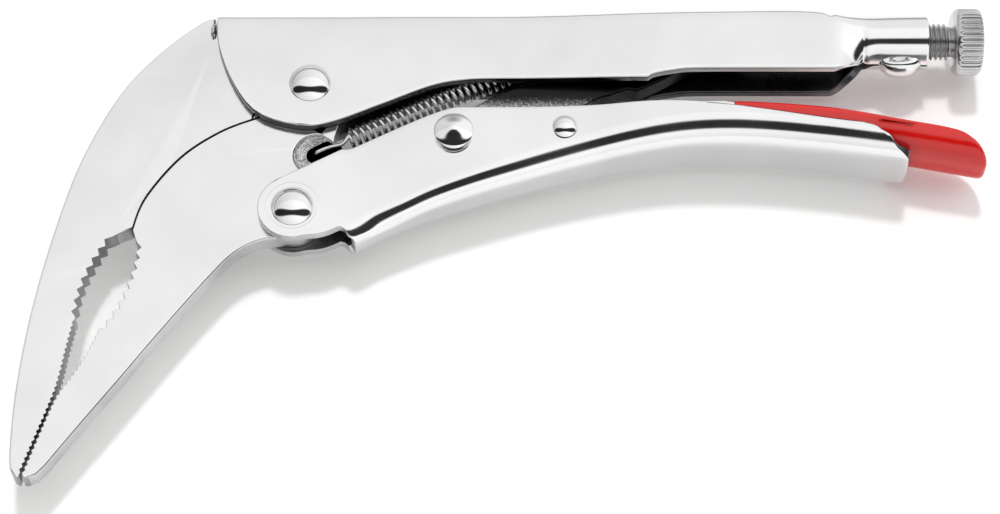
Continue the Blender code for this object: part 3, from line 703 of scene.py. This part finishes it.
def upper_front_columns(join_x):
    """Columns that turn from the channel's slanted front edge to an upright section at join_x."""
    lowest = min(range(len(UPPER_EDGE)), key=lambda k: UPPER_EDGE[k][1])
    front = UPPER_EDGE[lowest::-1]
    corner = front[0]
    straight = half_section(
        read_curve(UPPER_CROWN, join_x), read_curve(UPPER_EDGE, join_x), FRONT_WIDTH / 2, UPPER_BEND,
    )
    reach = path_length([p for p in front if p[1] < straight[WALL_STEPS][0]])
    edge = []
    for k, (y, z) in enumerate(straight):
        if k < WALL_STEPS:
            place, _ = along(front, reach * k / WALL_STEPS)
            edge.append(Vector((place.x, place.y, z)))
        else:
            edge.append(Vector((read_curve(by_height(front), y), y, z)))
    columns = []
    for step in range(14):
        share = step / 14
        rim_x = corner[0] + (join_x - corner[0]) * share
        lift = read_curve(UPPER_EDGE, rim_x) - (corner[1] + (straight[0][0] - corner[1]) * share)
        column = []
        for k, (y, z) in enumerate(straight):
            point = edge[k].lerp(Vector((join_x, y, z)), share)
            point.y += lift * max(0.0, 1 - k / WALL_STEPS)
            column.append(tuple(point))
        columns.append(whole(column))
    return columns


def rolled(points, x, crease):
    """The channel's section part of the way to the collar's round tube, with a pinch in its lower side."""
    tube_start, tube_full, pinch_x = 109.5, 119.5, 116.4
    share = ramp(x, tube_start, tube_full)
    if share == 0.0:
        return points
    mixed = []
    for k, (y, z) in enumerate(points):
        pinch = math.exp(-(((x - pinch_x) / 0.55) ** 2)) * (1 - ramp(k, 4, WALL_STEPS + 6))
        radius = 5.55 + 0.4 * ramp(x, 110.0, COLLAR_END_X) - 0.3 * crease - 0.7 * pinch
        angle = math.radians(-88.0 + 178.0 * k / (SECTION - 1))
        tube_y = SCREW_AXIS_Y + radius * math.sin(angle)
        tube_z = radius * math.cos(angle)
        mixed.append((y + (tube_y - y) * share, z + (tube_z - z) * share))
    return mixed


def upper_handle():
    """A pressed channel that narrows into a rolled collar."""
    join_x, step_x, neck_x = 8.0, 40.0, 109.6
    columns = upper_front_columns(join_x)
    xs = {join_x}
    xs |= {x for x, _ in UPPER_EDGE if join_x < x < step_x}
    xs |= set(stations((step_x, 70.8, 1.4), (70.8, 82, 0.7), (82, 106, 2), (106, COLLAR_END_X, 0.55)))
    for x in sorted(xs):
        crease = 0.45 * math.exp(-(((x - neck_x) / 0.7) ** 2))
        points = half_section(
            read_curve(UPPER_CROWN, x) - crease, read_curve(UPPER_EDGE, x), upper_width(x) / 2, UPPER_BEND,
        )
        columns.append(mirrored(x, rolled(points, x, crease)))
    mesh = sheet_mesh("upper_handle_shell", columns, [NICKEL, INSIDE, UPPER_RIM])
    obj = finished("upper_handle_shell", mesh, "upper_handle", "root")
    thicken(obj, SHEET - 0.1)
    round_edges(obj, 0.35, 4)


def anchor_tab():
    """The tab inside the upper handle that holds the spring's rear hook."""
    tab = outline_mesh("spring_anchor_tab", [
        (50.6, 16.0), (50.6, 8.4), (51.6, 6.6), (53.6, 6.6), (54.6, 8.4), (54.6, 16.0),
    ], 1.6, [INSIDE, INSIDE])
    tab = drill(tab, [(*SPRING_ANCHOR, 1.0, -3.0, 3.0)])
    weigh_rims(tab)
    piece = finished("spring_anchor_tab", tab, None, "root")
    round_edges(piece, 0.2, weighted=True)


def collar_crimp():
    """The dished lug pressed out of the collar's underside."""
    middle, radii, dent_at = (124.4, 8.4), (4.9, 4.0, 3.4), (124.0, 7.3)
    bm = bmesh.new()
    bmesh.ops.create_uvsphere(bm, u_segments=48, v_segments=24, radius=1.0)
    for vert in bm.verts:
        x, y, z = vert.co
        flat_z = math.copysign(abs(z) ** 0.75, z)
        vert.co = (middle[0] + radii[0] * x, middle[1] + radii[1] * y, radii[2] * flat_z)
        away_x = (vert.co.x - dent_at[0]) / 2.3
        away_y = (vert.co.y - dent_at[1]) / 0.8
        vert.co.z -= math.copysign(1.9 * math.exp(-(away_x ** 2) - (away_y ** 2)), z)
    finished("collar_crimp", to_mesh("collar_crimp", bm, [NICKEL]), None, "root")


def lower_section(web_x, wall_x):
    """The lower handle's half section, with its web and its wall each read at their own place."""
    return half_section(
        read_curve(LOWER_WEB, web_x), read_curve(LOWER_TOP, wall_x), lower_width(wall_x) / 2,
        lower_bend(wall_x), EASED_BEND,
    )


def lower_nose_columns(join_x, start):
    """Columns from the round nose of a cheek to the upright line where the section starts."""
    nose = arc(HANDLE_PIVOT, NOSE_RADIUS, 116, 255, 48)
    chin = arc(HANDLE_PIVOT, NOSE_RADIUS, 255, 292, 2)
    low_line = smooth([*chin, (2.2, -35.7), (4.4, -35.1), (join_x, start[WALL_STEPS][0])], 6)
    reach = path_length(nose)
    columns = []
    for step in range(16):
        share = step / 16
        low_x = nose[-1][0] + (join_x - nose[-1][0]) * share
        straight_y = nose[-1][1] + (start[WALL_STEPS][0] - nose[-1][1]) * share
        lift = read_curve(low_line, low_x) - straight_y
        column = [None] * SECTION
        for k in range(WALL_STEPS + 1):
            place, _ = along(nose, reach * k / WALL_STEPS)
            x = place.x + (join_x - place.x) * share
            y = place.y + (start[k][0] - place.y) * share + lift * (k / WALL_STEPS) ** 4
            column[k] = (x, y, FRONT_WIDTH / 2)
        columns.append(whole(column))
    return columns


def lower_rear_columns(rear_x):
    """Columns that lean from upright at rear_x to the cut and rounded rear end."""
    rear_edge = by_height(LOWER_END)
    rim_end, web_end, roundness = LOWER_END[0][0], 124.4, 1.9
    ends = [read_curve(rear_edge, y) for y, _ in lower_section(web_end, rim_end)[:WALL_STEPS + 1]]
    for k in range(1, SECTION - WALL_STEPS):
        left = 1 - k / (SECTION - WALL_STEPS - 1)
        ends.append(web_end - (web_end - ends[WALL_STEPS]) * left ** roundness)
    columns = []
    for step in range(1, 15):
        share = step / 14
        points = lower_section(rear_x + (web_end - rear_x) * share, rear_x + (rim_end - rear_x) * share)
        column = [(rear_x + (end - rear_x) * share, y, z) for end, (y, z) in zip(ends, points)]
        columns.append(whole(column))
    return columns


def lower_handle():
    """A channel whose cheeks run forward of its web into a round nose."""
    join_x, full_x, rear_x = 6.9, 20.0, 104.0
    web_start = join_x + 3.2
    columns = lower_nose_columns(join_x, lower_section(web_start, join_x))
    for step in range(13):
        share = step / 12
        wall_x = join_x + (full_x - join_x) * share
        web_x = web_start + (full_x - web_start) * share
        column = []
        for k, (y, z) in enumerate(lower_section(web_x, wall_x)):
            turn = min(1.0, max(0.0, (k - WALL_STEPS) / BEND_STEPS))
            column.append((wall_x + (web_x - wall_x) * math.sin(math.pi / 2 * turn), y, z))
        columns.append(whole(column))
    for x in stations((full_x, 40, 1.5), (40, rear_x, 2.0))[1:]:
        columns.append(mirrored(x, lower_section(x, x)))
    columns += lower_rear_columns(rear_x)
    mesh = sheet_mesh("lower_handle_shell", columns, [LOWER_NICKEL, INSIDE, LOWER_RIM], flip=True)
    obj = finished("lower_handle_shell", mesh, "lower_handle", "lower_handle")
    thicken(obj, SHEET)
    round_edges(obj, 0.2)


def jaw(name, outline, holes, teeth, node, body):
    """A flat plate with soft outer edges, crisp teeth darkened with painted shade and, where it has one, a
    milled hole.
    """
    mesh = outline_mesh(name, outline, JAW_THICKNESS, [JAW_NICKEL, MILLED])
    if holes:
        mesh = drill(mesh, holes)
    crisp = [ORIGIN.xy + Vector(p) * MM for path in teeth for p in path]

    def in_teeth(place):
        return min((place.xy - p).length for p in crisp) < 1.5 * MM

    weigh_rims(mesh, crisp=in_teeth)
    # Walls in and near the teeth, and the moving jaw's side wall, take the tooth material, darkened as
    # painted shade; the other walls take the cut edge
    for poly in mesh.polygons:
        if abs(poly.normal.z) < 0.5 and poly.material_index == 0:
            poly.material_index = 3 if in_teeth(poly.center) else 2
    mesh.materials.append(CUT_EDGE)
    mesh.materials.append(TOOTH_SHADE)
    obj = finished(name, mesh, node, body)
    round_edges(obj, 0.5, 4, weighted=True)
    return obj


def jaws():
    tip = [(-55.9, -87.9), (-54.9, -88.4)]
    inner = toothed(FIXED_FINE[::-1], (FINE_TOOTH[0], -FINE_TOOTH[1]))
    inner += toothed(FIXED_COARSE[::-1], (COARSE_TOOTH[0], -COARSE_TOOTH[1]))
    split = [(x - SPLIT_GAP / 2, y + SPLIT_GAP / 2) for x, y in SPLIT_LINE[::-1]]
    seat = arc((0, 0), HUB_RADIUS + 0.3, 208, 15, 48)
    tail = [(15.0, 3.4), (23.5, 6.0), (24.0, 15.1), (-19.6, 15.1), (-20.6, 15.1)]
    outline = FIXED_OUTER + tip + inner + [(-38.6, -34.6)] + split + seat + tail
    jaw("fixed_jaw_plate", outline, [], [FIXED_FINE, FIXED_COARSE, SPLIT_LINE], "fixed_jaw", "root")

    hub = arc((0, 0), HUB_RADIUS, -15, 216, 48)
    split = [(x + SPLIT_GAP / 2, y - SPLIT_GAP / 2) for x, y in SPLIT_LINE]
    inner = toothed(MOVING_COARSE, (COARSE_TOOTH[0], -COARSE_TOOTH[1]))
    inner += toothed(MOVING_FINE, (FINE_TOOTH[0], -FINE_TOOTH[1]))
    tip = [(-53.9, -88.4), (-52.8, -88.4), (-51.4, -87.7)]
    boss = arc(HANDLE_PIVOT, HANDLE_BOSS_RADIUS, -100, 10, 24)
    side = [(5.2, -20.0), (5.2, -12.0), (6.2, -8.0)]
    outline = hub + split + inner + tip + MOVING_OUTER + boss + side
    face = JAW_THICKNESS / 2
    jaw("moving_jaw_plate", outline, [
        (*SPRING_HOLE, 1.5, -9.0, 9.0),
        (*SPRING_HOLE, 4.6, face - 0.45, 9.0),
        (*SPRING_HOLE, 4.6, -9.0, 0.45 - face),
    ], [MOVING_FINE, MOVING_COARSE, SPLIT_LINE, smooth(side)], "moving_jaw", "moving_jaw")


def cap_profile(head, height):
    """A ball-shaped cap on a short upright lip, as (radius, height) from its middle outwards."""
    lip, steps = 0.06, 20
    ball = (head * head + height * height) / (2 * height)
    edge = math.asin(head / ball)
    angles = [edge * k / steps for k in range(steps + 1)]
    cap = [(ball * math.sin(a), lip + height - ball * (1 - math.cos(a))) for a in angles]
    return cap + [(head, 0.02)]


def rivet_heads():
    """Domed heads at both ends of each shank; the link's rivet has an upright side and a blunt cone."""
    cone = smooth([
        (0.0, 2.92), (0.55, 2.84), (1.15, 2.60), (2.4, 1.97),
        (3.5, 1.42), (4.0, 1.08), (4.15, 0.7), (4.15, 0.12),
    ], 5)
    large = cap_profile(4.4, 2.3)
    small = cap_profile(2.6, 1.35)
    for name, node, body, centre, shank, dome, grip in (
        ("jaw_rivet_head", "jaw_rivet", "root", (0.0, 0.0), 2.5, large, FRONT_WIDTH),
        ("handle_rivet_head", "handle_rivet", "lower_handle", HANDLE_PIVOT, 2.5, large, FRONT_WIDTH),
        ("link_rivet_head", "link_rivet", "lower_handle", LINK_PIVOT, 2.2, cone, lower_width(34.7)),
        ("lever_rivet_head", "lever_rivet", "lower_handle", LEVER_PIVOT, 1.7, small, lower_width(56.2)),
    ):
        top = grip / 2 + 0.05
        half = [(r, top + h) for r, h in dome]
        half[0] = (0.02, half[0][1])
        half += [(dome[-1][0] - 0.3, top), (shank, top)]
        profile = half + [(r, -h) for r, h in reversed(half)]
        mesh = lathe_mesh(name, profile, (*centre, 0.0), [RIVET])
        mesh.set_sharp_from_angle(angle=math.radians(50))
        finished(name, mesh, node, body)


def toggle_link():
    """The flat bar between the lower handle and the screw's tip."""
    top = smooth([(33.0, -5.4), (41.0, -0.6), (52.0, 2.6), (66.0, 8.6), (80.0, 14.1)])
    end = arc(LINK_END, 2.6, 100, -60, 16)
    under = smooth([
        (84.0, 8.0), (76.0, 3.2), (69.0, -0.4), (66.5, -0.3), (63.0, -1.6), (58.0, -3.8), (46.0, -13.0),
    ])
    hub = arc(LINK_PIVOT, 6.0, -40, -250, 28)
    mesh = outline_mesh("toggle_link_bar", top + end + under + hub, JAW_THICKNESS, [LINK_PLATE])
    weigh_rims(mesh)
    obj = finished("toggle_link_bar", mesh, "toggle_link", "toggle_link")
    round_edges(obj, 0.45, 4, weighted=True)


def release_lever():
    """The lever's channel, lower inside the coat, and the pusher that meets the link."""
    coat_x, lowered = 88.0, 0.95
    xs = stations((48.5, 62, 0.7), (62, 90, 2), (90, 134, 4))
    columns = []
    for x in xs:
        rim = read_curve(LEVER_TOP, x) - (lowered if x > coat_x else 0.0)
        columns.append(mirrored(x, half_section(read_curve(LEVER_WEB, x), rim, lever_width(x) / 2, 3.2)))
    mesh = sheet_mesh("release_lever_channel", columns, [NICKEL, INSIDE, CUT_EDGE], flip=True)
    obj = finished("release_lever_channel", mesh, "release_lever", "release_lever")
    thicken(obj, LEVER_SHEET)
    round_edges(obj, 0.2)

    pusher = outline_mesh("lever_pusher", [
        (60.6, -14.2), (60.9, -6.4), (62.0, -4.9), (64.4, -4.4), (65.4, -5.4), (65.6, -12.9),
    ], LEVER_FRONT_WIDTH - 2.0, [NICKEL])
    weigh_rims(pusher)
    piece = finished("lever_pusher", pusher, None, "release_lever")
    round_edges(piece, 0.3, weighted=True)


def coat_ring(web, rim, half, bend, wall, inset):
    """The coat's closed section as (y, z) points; inset shrinks it towards the middle of the wall."""
    outer_half, inner_half = half - inset, half - wall + inset
    outer_web, inner_web = web + inset, web + wall - inset
    outer_bend, inner_bend = bend - inset, max(0.4, bend - wall + inset)
    middle = rim - wall / 2

    def side(half_width, floor, radius):
        points = [(floor, (half_width - radius) * k / 4) for k in range(4)]
        for k in range(9):
            a = math.pi / 2 * (1 - k / 8)
            points.append((floor + radius * (1 - math.sin(a)), half_width - radius + radius * math.cos(a)))
        foot = floor + radius
        return points + [(foot + (middle - foot) * k / 5, half_width) for k in range(1, 6)]

    outer = side(outer_half, outer_web, outer_bend)
    inner = side(inner_half, inner_web, inner_bend)
    radius = (outer_half - inner_half) / 2
    centre = (outer_half + inner_half) / 2
    top = [
        (middle + radius * math.sin(a), centre + radius * math.cos(a))
        for a in (math.pi * k / 10 for k in range(1, 10))
    ]
    return outer + top + inner[::-1]


def grip_rows():
    """The coat's rings from its front end to its rounded, slanted rear end."""
    grow = (GRIP_WIDTH - LEVER_REAR_WIDTH) / 2
    wall = LEVER_SHEET + grow + COAT
    bend, shear_x = 5.3, 120.0
    front_round, rear_round = 0.35, 0.85
    rim_end, web_end = 133.0, 140.6
    rear_edge = by_height([(x, y) for x, y in LEVER_TOP if x >= rim_end])
    last = coat_ring(
        read_curve(LEVER_WEB, web_end) - grow, read_curve(LEVER_TOP, rim_end),
        GRIP_WIDTH / 2, bend, wall, 0.0,
    )

    def ring_at(x_web, x_rim, inset):
        return coat_ring(
            read_curve(LEVER_WEB, x_web) - grow, read_curve(LEVER_TOP, x_rim),
            lever_width(x_rim) / 2 + grow, bend, wall, inset,
        )

    rows = []
    for k in range(5):
        a = math.pi / 2 * k / 4
        x = GRIP_START_X + front_round * (1 - math.cos(a))
        inset = front_round * (1 - math.sin(a))
        rows.append([(x, y, z) for y, z in ring_at(x, x, inset)])
    for x in stations((GRIP_START_X + 1.0, shear_x, 2.2)):
        rows.append([(x, y, z) for y, z in ring_at(x, x, 0.0)])

    def end_row(share, inset, ahead):
        x_web = shear_x + (web_end - shear_x) * share
        x_rim = shear_x + (rim_end - shear_x) * share
        ring = ring_at(x_web, x_rim, inset)
        row = []
        for (y, z), (last_y, _) in zip(ring, last):
            reach = read_curve(rear_edge, last_y) - rear_round - shear_x
            row.append((shear_x + reach * share + ahead, y, z))
        return row

    rows += [end_row(step / 14, 0.0, 0.0) for step in range(1, 15)]
    for k in range(1, 9):
        a = math.pi / 2 * k / 8
        rows.append(end_row(1.0, rear_round * (1 - math.cos(a)), rear_round * math.sin(a)))
    return rows


def lever_grip():
    """The coat: a thick U with round rims and ends, closed at both of its ends."""
    bm = bmesh.new()
    loops = []
    for row in grip_rows():
        near = [bm.verts.new(p) for p in row]
        far = [bm.verts.new((x, y, -z)) for x, y, z in row[1:-1]]
        loops.append(near + far[::-1])
    bridge(bm, loops)
    near_count = len(loops[0]) // 2 + 1
    for loop in (loops[0], loops[-1]):
        far = [loop[0]] + loop[:near_count - 1:-1] + [loop[near_count - 1]]
        for side in (loop[:near_count], far):
            for k in range((near_count - 1) // 2):
                corners = [side[k], side[k + 1], side[-2 - k], side[-1 - k]]
                bm.faces.new(list(dict.fromkeys(corners)))
    bmesh.ops.recalc_face_normals(bm, faces=bm.faces)
    mesh = to_mesh("lever_grip_coat", bm, [RED])
    obj = finished("lever_grip_coat", mesh, "lever_grip", "release_lever")
    # Keeps red reflections off the polished channel round it
    obj.visible_glossy = False


def spring():
    """A close coil with a hook at each end, stretched between the moving jaw and the anchor tab."""
    start = Vector((*SPRING_HOLE, 0.0))
    end = Vector((*SPRING_ANCHOR, 0.0))
    axis = (end - start).normalized()
    across = Vector((axis.y, -axis.x, 0.0))
    raised = Vector((0.0, 1.5, 0.0))
    up = Vector((0.0, 0.0, 1.0))
    coil_start = start + axis * 7.4
    coil_end = end - axis * 4.4
    run = (coil_end - coil_start).length
    turns, per_turn, radius, wire = 30, 20, 2.05, 0.42
    hook = [
        start + axis * 0.6 - up * 3.1, start + axis * 0.2 - up * 2.6, start + axis * 0.2 + up * 2.4,
        start + axis * 1.2 + up * 3.1, start + axis * 3.4 + up * 2.9, start + axis * 6.0 + up * 2.2,
    ]
    coil = []
    for k in range(turns * per_turn + 1):
        angle = 2 * math.pi * k / per_turn
        centre = coil_start + raised + axis * (run * k / (turns * per_turn))
        coil.append(centre + radius * (up * math.cos(angle) + across * math.sin(angle)))
    tail = [
        coil_end + axis * 1.4 + up * 1.8, end - axis * 1.6 + up * 1.6,
        end - axis * 0.2 + up * 1.3, end - up * 1.4,
    ]
    path = [Vector(p) for p in smooth(hook + [coil[0]], 5)] + coil[1:-1]
    path += [Vector(p) for p in smooth([coil[-1], *tail], 5)]
    mesh = wire_mesh("tension_spring_wire", path, wire, [SPRING_WIRE])
    obj = linked("tension_spring_wire", mesh)
    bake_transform(obj, "moving_jaw", "root", ORIGIN + start * MM, ORIGIN + end * MM)
    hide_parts("tension_spring")


def thread_radius(x, turn):
    """The screw's radius at this share of a turn: a helical crest that fades out at both ends."""
    wave = (x / THREAD_PITCH - turn) % 1.0
    tooth = ramp(1 - abs(2 * wave - 1), 0.08, 0.92)
    fade = ramp(x, SCREW_TIP_X + 0.8, SCREW_TIP_X + 3.0)
    fade *= 1 - ramp(x, KNOB_START_X - 1.2, KNOB_START_X - 0.4)
    tip = ramp(x, SCREW_TIP_X - 0.6, SCREW_TIP_X + 2.0)
    return (THREAD_ROOT + (THREAD_RADIUS - THREAD_ROOT) * tooth * fade) * (0.35 + 0.65 * tip)


def screw_thread():
    """The shank, with eight rings to each turn of a true helical thread."""
    steps, end_x = 48, KNOB_START_X + 0.5
    count = round((end_x - SCREW_TIP_X) / (THREAD_PITCH / 8))
    bm = bmesh.new()
    rings = []
    for i in range(count + 1):
        x = SCREW_TIP_X + (end_x - SCREW_TIP_X) * i / count
        ring = []
        for k in range(steps):
            angle = 2 * math.pi * k / steps
            radius = thread_radius(x, k / steps)
            ring.append(bm.verts.new((x, SCREW_AXIS_Y + radius * math.cos(angle), radius * math.sin(angle))))
        rings.append(ring)
    mesh = tube("adjusting_screw_thread", bm, rings, [THREAD_METAL])
    finished("adjusting_screw_thread", mesh, "adjusting_screw", "adjusting_screw")


def fluted(angle, height, radius):
    """The knob's radius: rounded ribs with narrow grooves, which run out near both faces."""
    depth = 0.62 * ramp(height, KNOB_START_X + 1.0, KNOB_START_X + 1.9)
    depth *= 1 - ramp(height, KNOB_END_X - 0.5, KNOB_END_X - 0.1)
    groove = 1 - abs(math.sin(KNOB_FLUTES * angle / 2)) ** 0.8
    return radius - depth * groove


def screw_knob():
    """The fluted knob: a sloping shoulder in front, and a rounded rear face with a shallow dish."""
    front_face, slope, rear_round, dish = 5.2, 1.5, 1.3, 0.25
    quarter = [math.pi / 2 * k / 8 for k in range(1, 9)]
    profile = [(0.3, KNOB_START_X), (front_face, KNOB_START_X)]
    for a in quarter:
        radius = front_face + (KNOB_RADIUS - front_face) * math.sin(a)
        profile.append((radius, KNOB_START_X + slope * (1 - math.cos(a))))
    profile += [(KNOB_RADIUS, x) for x in stations((KNOB_START_X + 1.8, KNOB_END_X - 1.4, 0.35))]
    for a in quarter:
        x = KNOB_END_X - rear_round * (1 - math.sin(a))
        profile.append((KNOB_RADIUS - rear_round * (1 - math.cos(a)), x))
    profile += [(4.6, KNOB_END_X), (4.2, KNOB_END_X - dish), (0.3, KNOB_END_X - dish)]
    mesh = lathe_mesh(
        "screw_knob_fluted", profile, (0.0, SCREW_AXIS_Y, 0.0), [ZINC], KNOB_FLUTES * 14, "X", fluted,
    )
    obj = finished("screw_knob_fluted", mesh, "screw_knob", "screw_knob")
    round_edges(obj, 0.08, 2, 50.0)


def link_washers():
    """One washer between each side of the link and the lower handle's cheek."""
    inner, outer = 2.3, 3.8
    low = JAW_THICKNESS / 2 + 0.2
    high = lower_width(LINK_PIVOT[0] - outer) / 2 - SHEET - 0.2
    for name, node, side in (
        ("link_washer_near", "link_washer_front", 1), ("link_washer_far", "link_washer_back", -1),
    ):
        corners = [(inner, low), (outer, low), (outer, high), (inner, high), (inner, low)]
        profile = [(radius, side * height) for radius, height in corners]
        mesh = lathe_mesh(name, profile, (*LINK_PIVOT, 0.0), [RIVET])
        obj = finished(name, mesh, node, "lower_handle")
        round_edges(obj, 0.12, 2)


def weld_beads():
    """A lumpy bead on each side, between the upper handle's front corner and the fixed jaw."""
    for name, node, side in (("weld_near", "weld_bead_front", 1), ("weld_far", "weld_bead_back", -1)):
        bm = bmesh.new()
        bmesh.ops.create_icosphere(bm, subdivisions=4, radius=1.0)
        for vert in bm.verts:
            lump = 1.0 + 0.28 * noise.noise(vert.co * 2.3 + Vector((7.0 * side, 3.0, 1.0)))
            lump += 0.10 * noise.noise(vert.co * 6.0)
            vert.co = (
                HANDLE_FRONT_X - 0.75 + 0.6 * lump * vert.co.x,
                13.8 + 1.7 * lump * vert.co.y,
                side * (JAW_THICKNESS / 2 + 0.3) + 0.8 * lump * vert.co.z,
            )
        finished(name, to_mesh(name, bm, [CUT_EDGE]), node, "root")


# ---------- studio


def surroundings():
    """White surroundings, dimmer low down on each side, with a dark band above the camera's side."""
    world = bpy.data.worlds.new("studio")
    bpy.context.scene.world = world
    world.use_nodes = True
    graph = Graph(world.node_tree)
    direction = graph.node("ShaderNodeTexCoord").outputs["Generated"]
    x, y, z = graph.node("ShaderNodeSeparateXYZ", {0: direction}).outputs

    def step(angle, start_deg, end_deg, before, after):
        return graph.remap(angle, math.radians(start_deg), math.radians(end_deg), before, after, True)

    # Angles from straight up: towards -Y, and to either side
    toward = graph.math("ARCTAN2", graph.math("MULTIPLY", y, -1.0), z)
    aside = graph.math("ABSOLUTE", graph.math("ARCSINE", x))

    widening = graph.math("MULTIPLY", graph.math("POWER", aside, 2.0), 0.26)
    half_width = graph.math("ADD", widening, math.radians(11.5))
    offset = graph.math("ABSOLUTE", graph.math("SUBTRACT", toward, VIEW_TILT))
    inside = graph.remap(graph.math("DIVIDE", offset, half_width), 0.78, 1.3, 1.0, 0.0, True)
    dark = graph.math("MULTIPLY", inside, step(aside, 78.0, 89.0, 1.0, 0.6))

    strength = graph.math("SUBTRACT", 1.0, graph.math("MULTIPLY", dark, 0.975))
    for factor in (
        step(toward, -89.0, -70.0, 0.28, 1.0),
        step(toward, -33.5, -26.5, 0.91, 1.08),
        step(toward, 45.0, 85.0, 1.0, 0.88),
        step(aside, 30.0, 80.0, 1.0, 0.85),
        graph.math("ADD", graph.math("MULTIPLY", x, 0.25), 1.0),
    ):
        strength = graph.math("MULTIPLY", strength, factor)
    background = graph.node("ShaderNodeBackground", {"Color": (1.0, 1.0, 1.0, 1.0), "Strength": strength})
    graph.node("ShaderNodeOutputWorld", {"Surface": background.outputs[0]})


def ground():
    """A plain pale floor just below the tool; a faint glow keeps its shadows light."""
    bm = bmesh.new()
    bmesh.ops.create_grid(bm, x_segments=8, y_segments=8, size=3.0)
    mesh = bpy.data.meshes.new("floor")
    bm.to_mesh(mesh)
    bm.free()
    material, graph = new_material("floor_white")
    place = graph.node("ShaderNodeTexCoord").outputs["Object"]
    tone = graph.mix(graph.noise(place, 30.0), (0.90, 0.90, 0.895, 1.0), (0.93, 0.93, 0.925, 1.0))
    surface(
        graph, Base_Color=tone, Roughness=graph.remap(graph.noise(place, 80.0), 0.3, 0.7, 0.5, 0.6),
        Emission_Color=(1.0, 0.985, 0.96, 1.0), Emission_Strength=0.13,
    )
    mesh.materials.append(material)
    floor = linked("floor", mesh)
    floor.location.z = CAD_LOW.z - 0.0002


def key_light():
    """One soft light from behind the tool, which throws the shadow towards the camera's side."""
    key = bpy.data.lights.new("key", "SUN")
    key.energy = 1.3
    key.angle = math.radians(7.0)
    light = linked("key", key)
    light.rotation_euler = (-VIEW_TILT, 0.0, 0.0)
    light.visible_glossy = False


def camera():
    data = bpy.data.cameras.new("camera")
    data.lens = 105.0
    data.sensor_width = 36.0
    data.clip_start = 0.01
    obj = linked("camera", data)
    target = ORIGIN + Vector(VIEW_CENTRE) * MM
    obj.location = target + Vector((0.0, -math.sin(VIEW_TILT), math.cos(VIEW_TILT))) * CAMERA_DISTANCE
    obj.rotation_euler = (VIEW_TILT, 0.0, 0.0)
    bpy.context.scene.camera = obj
    bpy.context.scene.view_settings.view_transform = "Standard"


upper_handle()
anchor_tab()
collar_crimp()
lower_handle()
jaws()
rivet_heads()
toggle_link()
release_lever()
lever_grip()
spring()
screw_thread()
screw_knob()
link_washers()
weld_beads()
surroundings()
ground()
key_light()
camera()
